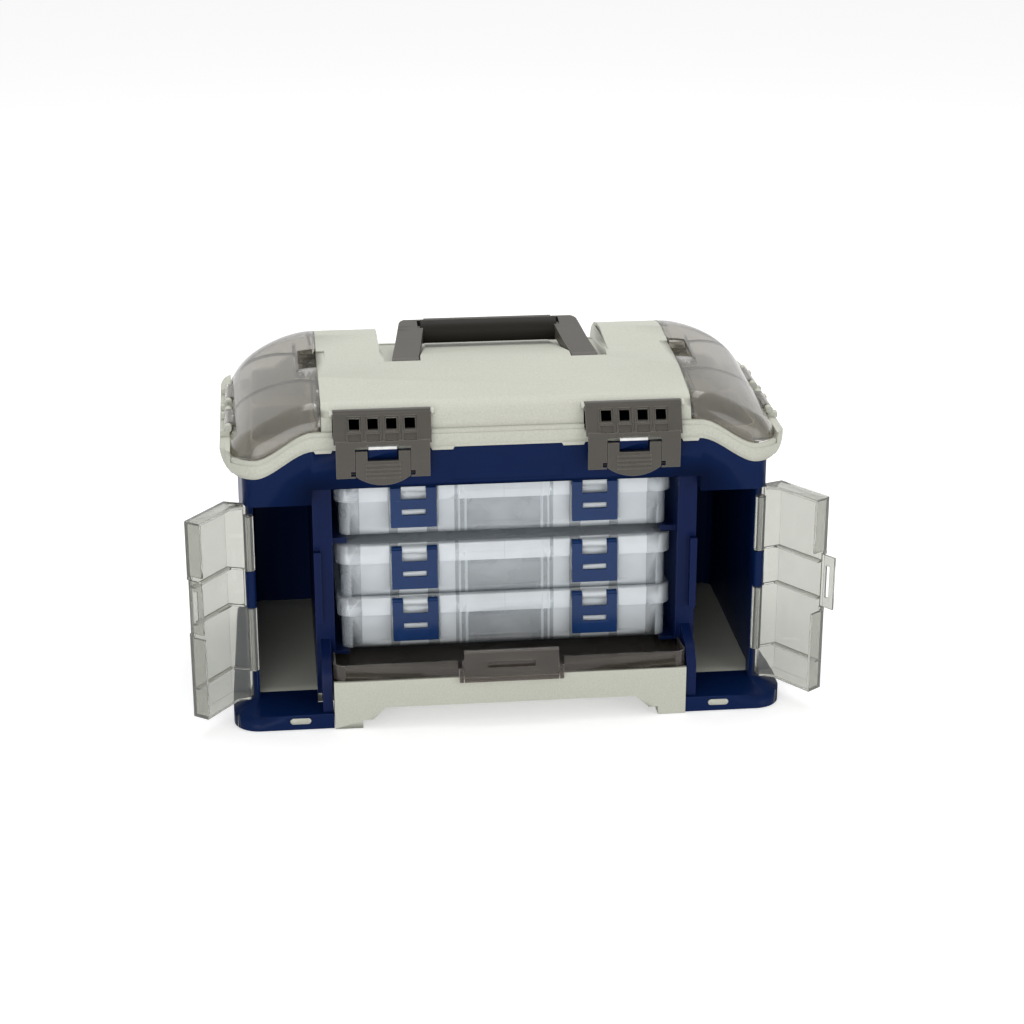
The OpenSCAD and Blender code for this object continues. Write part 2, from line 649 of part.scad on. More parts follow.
module box_lid(drop) color("#e8eef2", 0.5) box_place(drop) {
    half = box_w / 2;
    z0 = box_h - box_lid_h;
    z1 = box_h - box_lid_h / 2;
    difference() {
        round_block(-half, half, 0, box_d, z0, box_h, box_r + 2);
        round_block(-half + box_wall, half - box_wall, box_wall, box_d - box_wall, z0 - 1,
            box_h - box_wall, box_r);
        // room for the latches' ears in the front edge
        for (x = [-box_latch_x, box_latch_x]) block(x - box_latch_w / 2 - 0.8,
            x + box_latch_w / 2 + 0.8, -1, 4.9, z0 - 1, box_h + 1);
        block(-90, 90, box_d - 3, box_d + 1, z0 - 1, z1 + 1);
    }
    // the panels and ribs go on over the lid's skirt, with a raised band over the label
    for (side = [-1, 1]) {
        for (x = pad_xs) block(min(side * x[0], side * x[1]), max(side * x[0], side * x[1]),
            -0.6, 1, z0, box_h - 1);
        for (x = rib_xs) block(side * x - rib_t / 2, side * x + rib_t / 2, -0.9, 1, z0, box_h - 1);
    }
    block(-pad_xs[0][0], pad_xs[0][0], -0.6, 1, z0, z0 + 7);
    block(-half + box_r + 4, half - box_r - 4, 9, box_d - 12, box_h - box_wall, box_h + 0.4);
    for (x = [-box_latch_x, box_latch_x]) difference() {
        union() {
            block(x - lug_w / 2, x + lug_w / 2, 0, 5, z1 + 0.4, box_h - 1);
            block(x - box_latch_w / 2 - 1, x + box_latch_w / 2 + 1, 4.8, 6, z1 + 0.4, box_h - 1);
            rod_x(x - lug_w / 2, x + lug_w / 2, 0, box_h - 4.6, box_hinge_r + 1.4);
        }
        rod_x(x - lug_w, x + lug_w, 0, box_h - 4.6, 1.1);
    }
    for (x = [-70, 0, 70]) difference() {
        union() {
            rod_x(x + 0.4, x + 14, box_d + 0.6, z1 - 3, 2.6);
            block(x + 0.4, x + 14, box_d - 3, box_d + 3, z1 - 0.9, z1 + 2);
        }
        rod_x(x - 1, x + 15, box_d + 0.6, z1 - 3, 1);
    }
}

module box_hinge_rod(drop) color("#d5dade") box_place(drop) for (x = [-70, 0, 70])
    rod_x(x - 14, x + 14, box_d + 0.6, box_h - box_lid_h / 2 - 3, 0.95);

module box_dividers(drop) color("#dfe6ea", 0.5) box_place(drop) for (i = cell_walls)
    block(i * cell_pitch - 0.7, i * cell_pitch + 0.7, tub_inset + box_wall + 0.4,
        box_d - tub_inset - box_wall - 0.4, box_wall + 0.2, box_h - box_lid_h / 2 - 1);

module box_latch(drop, x) color("#17408f") box_place(drop) translate([x, 0, 0]) {
    z_pin = box_h - 4.6;
    half = box_latch_w / 2;
    difference() {
        union() {
            block(-half, half, -front_pad + 0.4, -front_pad + 0.4 + box_latch_t,
                z_pin - box_latch_h + 3, z_pin);
            both_sides() {
                rod_x(lug_w / 2 + 0.4, half, 0, z_pin, 3.4);
                block(lug_w / 2 + 0.4, half, -front_pad + 0.4, 0, z_pin - 3.4, z_pin + 1);
            }
        }
        block(-lug_w / 2 - 0.4, lug_w / 2 + 0.4, -9, 9, z_pin - 9, z_pin + 9);
        block(-10, 10, -9, 9, 17.6, 22.4);
    }
    both_sides() rod_x(lug_w / 2 - 6, lug_w / 2 + 0.5, 0, z_pin, 1.1 - pin_gap);
}

// ---------- front door ----------

module front_door() color("#5a534c", 0.6) tilted() {
    half = door_w / 2;
    y0 = y_plinth;
    difference() {
        union() {
            round_block(-half, half, y0, y0 + door_len, door_z, door_z + door_wall, 10);
            difference() {
                round_block(-half, half, y0, y0 + 44, door_z, door_z + lip_h, 10);
                round_block(-half + door_wall, half - door_wall, y0 + door_wall, y0 + 60,
                    door_z + door_wall, door_z + lip_h + 1, 10 - door_wall);
                block(-half - 1, half + 1, y0 + 34, y0 + 60, door_z + door_wall, door_z + lip_h + 1);
            }
            both_sides() rod_x(half - 6, half + pivot_pin_len, y0 + door_len - 8,
                door_z + door_wall / 2, pivot_pin_r);
        }
        // gaps each side of the latch tab
        both_sides() block(lip_tab_w / 2 + 1, lip_tab_w / 2 + 5, y0 - 1, y0 + door_wall + 1,
            door_z + door_wall + 4, door_z + lip_h + 1);
    }
    // lugs that carry the latch tab
    both_sides() difference() {
        across_x(lip_tab_w / 2 + gap, lip_tab_w / 2 + 4) {
            translate([lip_pin_y, lip_pin_z]) circle(lip_barrel_r);
            polygon([[lip_pin_y - lip_barrel_r, lip_pin_z], [lip_pin_y + lip_barrel_r, lip_pin_z],
                [lip_pin_y + lip_barrel_r, door_z + 0.2], [y0 + 1, door_z + 0.2],
                [y0 + 1, door_z + 6], [lip_pin_y, door_z + 6]]);
        }
        rod_x(0, half, lip_pin_y, lip_pin_z, lip_pin_r + hold_gap);
    }
}

module front_door_tab() color("#6a625a", 0.6) tilted() difference() {
    half = lip_tab_w / 2;
    y1 = lip_pin_y + lip_barrel_r;
    z0 = lip_pin_z - lip_barrel_r;
    union() {
        block(-half, half, y1 - tab_t, y1, lip_pin_z, z0 + lip_tab_h);
        block(-half, half, y1 - tab_t, y1 + 1.6, z0 + lip_tab_h - tab_t, z0 + lip_tab_h);
        rod_x(-half, half, lip_pin_y, lip_pin_z, lip_barrel_r);
    }
    block(-slot_half, slot_half, y1 - 5, y1 + 1, z0 + 12, z0 + 17.5);
    rod_x(-half - 1, half + 1, lip_pin_y, lip_pin_z, lip_pin_r + pin_gap);
}

module front_door_tab_pin() color("#9a9ea2") tilted()
    rod_x(-lip_tab_w / 2 - 3.8, lip_tab_w / 2 + 3.8, lip_pin_y, lip_pin_z, lip_pin_r);

// ---------- side doors ----------

// Closed position of the door's outer skin, from the hinge round to its free edge
crease = [hinge_x - facet_a * sin(facet_angle), hinge_y - facet_a * cos(facet_angle)];
free_edge = [crease[0] - facet_b, crease[1]];
skin_start = [hinge_x + barrel_r - 0.2, hinge_y];

// Plan of the skin, inset by t
function skin_plan(t) = [
    [skin_start[0] - t, hinge_y + 0],
    [crease[0] + 3.4 - t, crease[1] + t],
    [free_edge[0] + t, free_edge[1] + t],
    [free_edge[0] + t, free_edge[1] + door_rim],
    [crease[0] - 8, crease[1] + door_rim],
    [hinge_x - 4, hinge_y]];

module door_shape() difference() {
    union() {
        difference() {
            translate([0, 0, door_z0]) linear_extrude(door_z1 - door_z0) polygon(skin_plan(0));
            difference() {
                translate([0, 0, door_z0 + door_wall]) linear_extrude(door_z1 - door_z0
                    - 2 * door_wall) polygon(concat([for (i = [0:2]) skin_plan(door_wall)[i]],
                    [[free_edge[0] + door_wall, hinge_y + 30], [hinge_x + 20, hinge_y + 30]]));
                // ribs across the inside
                for (z = rib_z) translate([0, 0, z - 0.8]) linear_extrude(1.6)
                    difference() {
                        polygon(skin_plan(0));
                        translate([0, 4.5]) polygon(concat([for (i = [0:2])
                            skin_plan(door_wall)[i]], [[free_edge[0], hinge_y + 30],
                            [hinge_x + 20, hinge_y + 30]]));
                    }
            }
        }
        for (z = [barrel_low, barrel_high])
            rod_z(hinge_x, hinge_y, z[0] + gap, z[1] - gap, barrel_r);
    }
    // the pin's bore, room for the body's knuckle and the notch round the tab
    rod_z(hinge_x, hinge_y, 0, body_h, pin_r + pin_gap);
    rod_z(hinge_x, hinge_y, barrel_low[1] - gap, barrel_high[0] + gap, barrel_r + 2.6);
    for (z = [[0, barrel_low[0] + gap], [barrel_high[1] - gap, body_h]])
        rod_z(hinge_x, hinge_y, z[0], z[1], barrel_r + 0.6);
    block(free_edge[0] - 1, free_edge[0] + 2.4, free_edge[1] + 3, hinge_y + 30,
        notch_z[0], notch_z[1]);
    block(free_edge[0] - 1, free_edge[0] + 3.2, free_edge[1] - 1, free_edge[1] + 4,
        tab_mid - side_tab_h / 2 - gap, tab_mid + side_tab_h / 2 + gap);
}

tab_mid = (notch_z[0] + notch_z[1]) / 2;

// Ears that hold the tab's pin, above and below it
module tab_ears() for (z = [tab_mid - side_tab_h / 2 - 3, tab_mid + side_tab_h / 2 + gap])
    difference() {
        block(free_edge[0] - 0.2, free_edge[0] + 3, free_edge[1], free_edge[1] + 3.4, z, z + 2.5);
        rod_z(free_edge[0] + 1.3, free_edge[1] + 1.6, z - 1, z + 4, 0.7);
    }

module door_closed() {
    difference() {
        door_shape();
        rod_z(free_edge[0] + 1.3, free_edge[1] + 1.6, tab_mid - side_tab_h / 2 - 3.4,
            tab_mid + side_tab_h / 2 + 3.4, 1.7);
    }
    tab_ears();
}

// The tab points away from the door, and fold turns it back along the door's rim
module tab_closed(fold) translate([free_edge[0] + 1.3, free_edge[1] + 1.6, tab_mid])
    rotate([0, 0, -fold]) difference() {
        union() {
            block(-side_tab_w, 0, -tab_t / 2, tab_t / 2, -side_tab_h / 2, side_tab_h / 2);
            rod_z(0, 0, -side_tab_h / 2, side_tab_h / 2, 1.2);
            rod_z(0, 0, -side_tab_h / 2 - 2.4, side_tab_h / 2 + 2.4, 0.62);
        }
        block(-7, -3.4, -3, 3, -14, 14);
    }

module open_door(angle) translate([hinge_x, hinge_y, 0]) rotate([0, 0, angle])
    translate([-hinge_x, -hinge_y, 0]) children();

module side_door_right() color("#8d8880", 0.5) open_door(door_open) door_closed();
module side_door_left() color("#8d8880", 0.5) mirror([1, 0, 0]) open_door(door_open) door_closed();
module side_door_tab_right() color("#8d8880", 0.6) open_door(door_open) tab_closed(0);
module side_door_tab_left() color("#8d8880", 0.6) mirror([1, 0, 0]) open_door(door_open)
    tab_closed(90);
module side_door_pins() color("#9a9ea2") both_sides()
    rod_z(hinge_x, hinge_y, barrel_low[0], barrel_high[1], pin_r);

// ---------- lid ----------

// Front view of a slice of the rim, following the wave between two heights over its lower edge
module rim_slice(low, high, inset) intersection() {
    across_y(rim_y0, rim_y1) polygon(concat(
        wave_line(-rim_half, rim_half, rim_z + low),
        arc(rim_half - rim_top_r, side_top - rim_top_r, rim_top_r, rim_top_r, 0, 90, 5),
        [[cover_half, side_top]],
        reversed(wave_line(-cover_half, cover_half, rim_z + high)),
        [[-cover_half, side_top]],
        arc(rim_top_r - rim_half, side_top - rim_top_r, rim_top_r, rim_top_r, 90, 180, 5)));
    round_block(-rim_half + inset, rim_half - inset, rim_y0 + inset, rim_y1 - inset, 0,
        crown_top, rim_r - inset);
}

// Band with a lip below and a bead above that follows the wave and stands taller at the sides
module rim_band() difference() {
    intersection() {
        union() {
            rim_slice(0, rim_h - bead_t, 1.3);
            rim_slice(lip_t, rim_h - bead_t, 0);
            rim_slice(lip_t, rim_h, 1.3);
        }
        across_y(rim_y0, rim_y1) polygon(concat(
            arc(-rim_half + rim_end_r, rim_z - end_drop + rim_end_r, rim_end_r, rim_end_r, 180, 270, 8),
            arc(rim_half - rim_end_r, rim_z - end_drop + rim_end_r, rim_end_r, rim_end_r, 270, 360, 8),
            [[rim_half, crown_top], [-rim_half, crown_top]]));
    }
    round_block(-cover_half, cover_half, rim_y0 + rim_front_t, rim_y1 - rim_front_t, 0, crown_top,
        cover_r + 0.6);
}

module crown_solid(t, z0) across_x(-crown_half + t, crown_half - t) polygon(crown_side(t, z0));

// Side view of the cut behind the handle's pivot
module handle_recess() {
    z1 = crown_top - 3.4;
    across_x(-recess_wall, recess_wall) polygon([[handle_pivot_y + 3, z1 + 0.3],
        [handle_pivot_y + 80, crown_top - recess_depth], [y_back + 10, crown_top - recess_depth - 14],
        [y_back + 10, crown_top + 5], [handle_pivot_y + 3, crown_top + 5]]);
    both_sides() {
        x1 = handle_w / 2 + pocket_side;
        x0 = handle_bar_w / 2 - arm_w;
        intersection() {
            across_x(x0 - 2, x1) polygon([[handle_pivot_y - 7.5, crown_top - 17],
                [handle_pivot_y + 80, crown_top - recess_depth - 0.6],
                [handle_pivot_y + 80, crown_top + 5], [handle_pivot_y - 7.5, crown_top + 5]]);
            linear_extrude(crown_top + 9) polygon([
                [handle_w / 2 - arm_w - foot_room, handle_pivot_y - 9],
                [handle_w / 2 - arm_w - foot_room, handle_pivot_y + 2],
                [x0 - foot_room, handle_pivot_y + handle_reach], [x0 - foot_room, handle_pivot_y + 82],
                [x1 + 1, handle_pivot_y + 82], [x1 + 1, handle_pivot_y - 9]]);
        }
    }
}

// Walls under the recess, as thick as the lid
module recess_floor() {
    z1 = crown_top - 3.4;
    z2 = crown_top - recess_depth;
    across_x(-recess_wall - lid_wall, recess_wall + lid_wall) polygon([
        [handle_pivot_y - 11, crown_top - 21], [handle_pivot_y + 80, z2 - 4],
        [crown_y1 - 2, z2 - 16], [crown_y1 - 2, z2 + 8], [handle_pivot_y - 11, z1]]);
}

module latch_lugs(x) for (s = [-1, 1]) difference() {
    union() {
        rod_x(x + s * (comb_w / 2 + gap + lug_t / 2) - lug_t / 2,
            x + s * (comb_w / 2 + gap + lug_t / 2) + lug_t / 2, latch_pivot_y, latch_pivot_z,
            latch_lug_r);
        block(x + s * (comb_w / 2 + gap + lug_t / 2) - lug_t / 2,
            x + s * (comb_w / 2 + gap + lug_t / 2) + lug_t / 2, latch_pivot_y, y_front + 16,
            latch_pivot_z - latch_lug_r, latch_pivot_z + 1);
    }
    rod_x(x - comb_w, x + comb_w, latch_pivot_y, latch_pivot_z, pin_r + hold_gap);
}

module lid_shell() color("#c9cac0") {
    difference() {
        union() {
            rim_band();
            // small tabs that hang from the rim beside the latches
            both_sides() for (x = tab_xs) across_y(rim_y0 + 0.4, y_front - gap) polygon([
                [x[0], rim_z + 1], [x[0] + 1.5, rim_z - 2], [x[1] - 1.5, rim_z - 2],
                [x[1], rim_z + 1]]);
            difference() {
                crown_solid(0, rim_z + 2);
                difference() {
                    crown_solid(lid_wall, rim_z - 2);
                    recess_floor();
                }
            }
            for (x = [-latch_x, latch_x]) latch_lugs(x);
            for (x = hinge_xs) rear_knuckle(x - hinge_len / 6 + gap, x + hinge_len / 6 - gap);
            // ledges that carry the bins
            both_sides() {
                block(crown_half - lid_wall, bin_x0 + bin_flange, bin_y0 + bin_r, bin_y1 - bin_r,
                    bin_top - 5, bin_top - 2 - hold_gap);
                block(crown_half - lid_wall, crown_half, bin_y0 + bin_r, bin_y1 - bin_r,
                    bin_top - 5, rim_top);
                block(bin_x1 + bin_flange - 3, cover_half + eps, bin_y0 + 16, bin_y1 - 16,
                    outer_ledge - 3, outer_ledge - hold_gap);
            }
        }
        handle_recess();
        for (s = [-1, 1]) rod_x(s * (handle_w / 2 - arm_w / 2) - arm_w, s * (handle_w / 2
            - arm_w / 2) + arm_w, handle_pivot_y, handle_pivot_z, handle_pin_r + hold_gap);
        // room for the latches' slanted tops
        for (x = [-latch_x, latch_x]) block(x - comb_w / 2 - gap, x + comb_w / 2 + gap,
            crown_y0 - 10, latch_pivot_y + latch_barrel_r + 0.8, rim_top - 5, latch_pivot_z + 8);
        // pocket behind each cover's snap
        both_sides() block(crown_half - 7, crown_half + 1, snap_y[0] + 5, snap_y[1] - 5,
            crown_top - 4, crown_top + 5);
        // notches for the covers' barrels
        both_sides() for (y = cover_knuckles) rod_y(cover_pin_x, y - cover_knuckle_len / 2 - gap,
            y + cover_knuckle_len / 2 + gap, cover_pin_z, cover_knuckle_r + 0.7);
        both_sides() rod_y(cover_pin_x, cover_knuckles[0] - 40, cover_knuckles[1] + 40,
            cover_pin_z, cover_pin_r + hold_gap);
    }
    both_sides() for (y = cover_lug_ys) cover_lug(y);
}

// Lugs on the rim between the covers' barrels, holding their pins
cover_lug_ys = [cover_knuckles[0] - 21.5, cover_knuckles[0] + 21.5, cover_knuckles[1] - 21.5,
    cover_knuckles[1] + 21.5];
module cover_lug(y) difference() {
    union() {
        rod_y(cover_pin_x, y - 3.5, y + 3.5, cover_pin_z, cover_knuckle_r);
        block(cover_pin_x, rim_half - rim_top_r, y - 3.5, y + 3.5, cover_pin_z - 6, cover_pin_z);
        block(cover_half + 0.3, rim_half - 1, y - 3.5, y + 3.5, cover_pin_z - 6, cover_pin_z - 2);
    }
    rod_y(cover_pin_x, y - 5, y + 5, cover_pin_z, cover_pin_r + hold_gap);
}

module rear_knuckle(x0, x1) difference() {
    union() {
        rod_x(x0, x1, lid_pin_y, lid_pin_z, lid_knuckle_r);
        block(x0, x1, rim_y1 - 1, lid_pin_y, lid_pin_z, lid_pin_z + lid_knuckle_r);
    }
    rod_x(x0 - 1, x1 + 1, lid_pin_y, lid_pin_z, lid_pin_r + pin_gap);
}

module lid_hinge_pins() color("#9a9ea2") for (x = hinge_xs)
    rod_x(x - hinge_len / 2, x + hinge_len / 2, lid_pin_y, lid_pin_z, lid_pin_r);

// Open bin in each end of the lid, hung by its flanges under the cover
module bin_shape() {
    mid = bin_y0 + (bin_y1 - bin_y0) / 2 - 9;
    difference() {
        round_block(bin_x0 + bin_flange + gap, bin_x1, bin_y0, bin_y1, bin_top - bin_depth,
            bin_top, bin_r);
        round_block(bin_x0 + bin_flange + gap + bin_wall, bin_x1 - bin_wall, bin_y0 + bin_wall,
            mid, bin_top - bin_depth + bin_wall, bin_top + 1, bin_r - bin_wall);
        round_block(bin_x0 + bin_flange + gap + bin_wall, bin_x1 - bin_wall, mid + bin_wall,
            bin_y1 - bin_wall, bin_top - bin_depth + bin_wall, bin_top + 1, bin_r - bin_wall);
    }
    block(bin_x0, bin_x0 + bin_flange + gap + eps, bin_y0 + bin_r, bin_y1 - bin_r, bin_top - 2,
        bin_top);
    block(bin_x1 - eps, bin_x1 + bin_flange, bin_y0 + bin_r, bin_y1 - bin_r, outer_ledge,
        outer_ledge + 2);
}
module lid_bin_left() color("#b7b5ae") mirror([1, 0, 0]) bin_shape();
module lid_bin_right() color("#b7b5ae") bin_shape();

// ---------- top covers ----------

// Height of the covers' top along the front view, from the seam to the outer edge
function end_top(x) = crown_top - end_rz + end_rz * sqrt(1 - pow((x - end_x) / end_rx, 2));
end_x = cover_half + end_out - end_rx;

// How far the cover's front and back stand in at a distance x from the middle
function corner_in(x) = x < cover_half - cover_r ? 0
    : cover_r - sqrt(max(0, cover_r * cover_r - pow(x - cover_half + cover_r, 2)));

cover_cols = 20;
crown_mid = (crown_y0 + crown_y1) / 2;
crown_reach = (crown_y1 - crown_y0) / 2;

// Sections of the cover's skin at even steps outwards, each the crown's side view squeezed
// between the wavy lower edge and the rounded end; t lowers the skin and draws it in
function cover_sections(t) = [for (i = [0:cover_cols])
    let (u = i / cover_cols, e = u * (2 - u) * 0.35 + u * 0.65,
        x = x_seam + (cover_half - 0.2 - x_seam) * e,
        low = rim_top + bead_gap + wave(x), high = end_top(x),
        reach = (crown_reach - corner_in(x) * 0.9) * (crown_reach - t) / crown_reach)
    concat(
        [[x_in(x, t), crown_mid - reach, low - (t > 0 ? 20 : 0)]],
        [for (p = crown_line(0)) [x_in(x, t), crown_mid + (p[0] - crown_mid) / crown_reach * reach,
            low + (p[1] - rim_top + 1) / (crown_h + 1) * (high - low) - t]],
        [[x_in(x, t), crown_mid + reach, low - (t > 0 ? 20 : 0)]])];
function x_in(x, t) = x_seam + t + (x - x_seam) * (cover_half - x_seam - 2 * t)
    / (cover_half - x_seam);
bead_gap = 0.4;

// Solid through a row of sections with equal numbers of points
module lofted(sections) {
    n = len(sections);
    m = len(sections[0]);
    polyhedron(
        points = [for (row = sections) for (p = row) p],
        faces = concat(
            [[for (j = [0:m - 1]) m - 1 - j]],
            [[for (j = [0:m - 1]) (n - 1) * m + j]],
            [for (i = [0:n - 2]) for (j = [0:m - 1]) let (k = (j + 1) % m)
                [(i + 1) * m + k, (i + 1) * m + j, i * m + j]],
            [for (i = [0:n - 2]) for (j = [0:m - 1]) let (k = (j + 1) % m)
                [i * m + k, (i + 1) * m + k, i * m + j]]));
}

module cover_shape() difference() {
    union() {
        difference() {
            lofted(cover_sections(0));
            lofted(cover_sections(cover_wall));
            for (y = cover_lug_ys) block(cover_half - 2.8, cover_half + 5, y - 4.1, y + 4.1,
                side_top - 3, cover_pin_z + 12);
        }
        for (y = cover_knuckles) {
            rod_y(cover_pin_x, y - cover_knuckle_len / 2, y + cover_knuckle_len / 2, cover_pin_z,
                cover_knuckle_r);
            block(cover_half - 3, cover_pin_x, y - cover_knuckle_len / 2,
                y + cover_knuckle_len / 2, cover_pin_z - 1, cover_pin_z + cover_knuckle_r);
        }
        // walls and floor of the recess round the snap
        block(x_seam + cover_wall / 2, x_seam + snap_w + 2, snap_y[0] - 2, snap_y[1] + 2,
            crown_top - 13, crown_top - 6);
    }
    block(x_seam - 1, x_seam + snap_w, snap_y[0], snap_y[1], crown_top - 11, crown_top + 5);
    for (y = cover_knuckles) rod_y(cover_pin_x, y - cover_knuckle_len, y + cover_knuckle_len,
        cover_pin_z, cover_pin_r + pin_gap);
}

module top_cover_left() color("#8d8880", 0.5) mirror([1, 0, 0]) cover_shape();
module top_cover_right() color("#8d8880", 0.5) cover_shape();
module top_cover_pins() color("#9a9ea2") both_sides() for (y = cover_knuckles)
    rod_y(cover_pin_x, y - 25, y + 25, cover_pin_z, cover_pin_r);

// ---------- handle ----------

module handle_place() translate([0, handle_pivot_y, handle_pivot_z]) rotate([handle_fold, 0, 0])
    children();

module handle_bail() color("#6f6d68") handle_place() {
    out = handle_w / 2;
    top = handle_bar_w / 2;
    difference() {
        both_sides() {
            intersection() {
                translate([0, 0, -arm_t]) linear_extrude(3 * arm_t) polygon(concat(
                    [[out - arm_w, 0], [out, 0], [out, handle_foot_r]],
                    arc(top - bar_end_r, bar_y - bar_end_r, bar_end_r, bar_end_r, 0, 90, 8),
                    [[top - arm_w - 7, bar_y], [top - arm_w - 7, bar_y - 6],
                    [top - arm_w, handle_reach + 2], [out - arm_w, handle_foot_r]]));
                across_x(0, out + 1) polygon([[-handle_foot_r, -arm_t / 2], [bar_y, -arm_t / 2],
                    [bar_y, bar_z - 2], [bar_y - 2, bar_z], [handle_reach - 2, bar_z],
                    [handle_reach * 0.7, bar_z - 1.6], [handle_reach * 0.45, arm_t / 2],
                    [-handle_foot_r, arm_t / 2]]);
            }
            rod_x(out - arm_w, out, 0, 0, handle_foot_r);
        }
        rod_x(-out - 1, out + 1, 0, 0, handle_pin_r + pin_gap);
        rod_x(-top + arm_w - 6, top - arm_w + 6, handle_reach, 0, grip_dia / 2 + 0.02);
    }
    // flat bar behind the grip
    block(-top + arm_w, top - arm_w, handle_reach + grip_dia / 2 - 4, bar_y, -arm_t / 2, bar_z);
    both_sides() rod_x(top - arm_w - 4, top - arm_w + 10, handle_reach, 0, grip_dia / 2 - 5);
}

module handle_grip() color("#26241f") handle_place() difference() {
    half = handle_bar_w / 2 - arm_w + 3.4;
    rod_x(-half, half, handle_reach, 0, grip_dia / 2);
    block(-half - 1, half + 1, handle_reach + grip_dia / 2 - 4.1, handle_reach + 20,
        -arm_t / 2 - 0.1, 20);
    both_sides() rod_x(handle_bar_w / 2 - arm_w - 4.5, half + 1, handle_reach, 0,
        grip_dia / 2 - 4.95);
}

module handle_pins() color("#9a9ea2") for (s = [-1, 1])
    rod_x(s * (handle_w / 2 - arm_w / 2) - arm_w / 2 - pocket_side - 3,
        s * (handle_w / 2 - arm_w / 2) + arm_w / 2 + pocket_side + 3, handle_pivot_y,
        handle_pivot_z, handle_pin_r);

// ---------- main latches ----------

// Shallow cell in the latch's slanted face between two heights
module slanted_cell(half, z0, z1, deep) across_x(-half, half) polygon([
    [slant_y(z0) - 2, z0], [slant_y(z0) + deep, z0], [slant_y(z1) + deep, z1],
    [slant_y(z1) - 2, z1]]);

module latch_body(x) color("#6f6d68") translate([x, 0, 0]) difference() {
    union() {
        rod_x(-comb_w / 2, comb_w / 2, latch_pivot_y, latch_pivot_z, latch_barrel_r);
        across_x(-comb_w / 2, comb_w / 2) polygon([
            [latch_pivot_y - 2.4, latch_pivot_z + 2], [latch_pivot_y - 3.2, latch_pivot_z],
            [comb_low[0] - 2, comb_low[1]], [comb_low[0] - 2, comb_low[1] - 2],
            [panel_y + latch_t / 2, comb_low[1] - 2], [comb_low[0] + 2.2, comb_low[1] + 1],
            [latch_pivot_y, latch_pivot_z - 3]]);
        block(-panel_w / 2, panel_w / 2, panel_y - latch_t / 2, panel_y + latch_t / 2,
            latch_bottom, comb_low[1] + 1);
    }
    rod_x(-comb_w, comb_w, latch_pivot_y, latch_pivot_z, pin_r + pin_gap);
    // row of windows, each in a shallow cell with a second cell below it
    for (i = [0:comb_windows - 1]) translate([(i - (comb_windows - 1) / 2) * comb_pitch, 0, 0]) {
        block(-comb_window_w / 2, comb_window_w / 2, y_front - 30, y_front + 20,
            comb_mid + 1.6, latch_pivot_z - 3.4);
        slanted_cell(comb_window_w / 2 + 1.9, comb_mid + 0.7, latch_pivot_z - 1.8, 0.9);
        slanted_cell(comb_window_w / 2 + 1.4, comb_low[1] + 0.6, comb_mid - 0.7, 1.5);
    }
    // opening that the thumb lever fills
    block(-lever_w / 2 - gap, lever_w / 2 + gap, panel_y - 9, panel_y + 9, latch_bottom - 1,
        lever_top + gap);
    block(-window_w / 2, window_w / 2, panel_y - 9, panel_y + 9, latch_bottom, lever_top + 2);
    for (s = [-1, 1]) {
        rod_x(s * (lever_w / 2 + 3) - 5, s * (lever_w / 2 + 3) + 5, panel_y, lever_pivot_z, 0.98);
        block(s * (lever_w / 2 + pivot_hole / 2) - pivot_hole / 2,
            s * (lever_w / 2 + pivot_hole / 2) + pivot_hole / 2, panel_y - 9, panel_y + 9,
            lever_pivot_z - pivot_hole / 2, lever_pivot_z + pivot_hole / 2);
    }
}

module lever_body(x) color("#6f6d68") translate([x, 0, 0]) difference() {
    half = lever_w / 2;
    union() {
        across_y(panel_y - latch_t / 2, panel_y + latch_t / 2) polygon(concat(
            [[half, lever_top - lever_shoulder], [-half, lever_top - lever_shoulder]],
            arc(0, lever_pivot_z - 10 + lever_sweep_r, lever_sweep_r, lever_sweep_r,
                270 - asin(half / lever_sweep_r), 270 + asin(half / lever_sweep_r), 10)));
        // finger ridges
        for (i = [0:3]) block(-half + 8, half - 8, panel_y - latch_t / 2 - 1,
            panel_y - latch_t / 2 + eps, lever_pivot_z - 4 + i * 3.6, lever_pivot_z - 2.6 + i * 3.6);
    }
    block(-window_w / 2, window_w / 2, panel_y - 9, panel_y + 9, window_low, lever_top + 9);
    rod_x(-half - 1, -half + 6, panel_y, lever_pivot_z, 1 + pin_gap - 0.02);
    rod_x(half - 6, half + 1, panel_y, lever_pivot_z, 1 + pin_gap - 0.02);
}

module latch_left() latch_body(-latch_x);
module latch_right() latch_body(latch_x);
module latch_lever_left() lever_body(-latch_x);
module latch_lever_right() lever_body(latch_x);

module latch_pins() color("#9a9ea2") for (x = [-latch_x, latch_x])
    rod_x(x - comb_w / 2 - lug_t - gap, x + comb_w / 2 + lug_t + gap, latch_pivot_y,
        latch_pivot_z, pin_r);

module lever_pins(x) color("#9a9ea2") for (s = [-1, 1])
    rod_x(x + s * (lever_w / 2 + 1) - 5, x + s * (lever_w / 2 + 1) + 5, panel_y, lever_pivot_z, 0.97);
module lever_pins_left() lever_pins(-latch_x);
module lever_pins_right() lever_pins(latch_x);

// Bright strips on top of the body's catch blocks
module latch_keepers() color("#e8e8e6") for (x = [-latch_x, latch_x])
    block(x - window_w / 2 + 1, x + window_w / 2 - 1, rim_y0 - 5.3, rim_y0 - 1.3,
        lever_top - 3.2, lever_top - 0.6);

// ---------- the nodes ----------

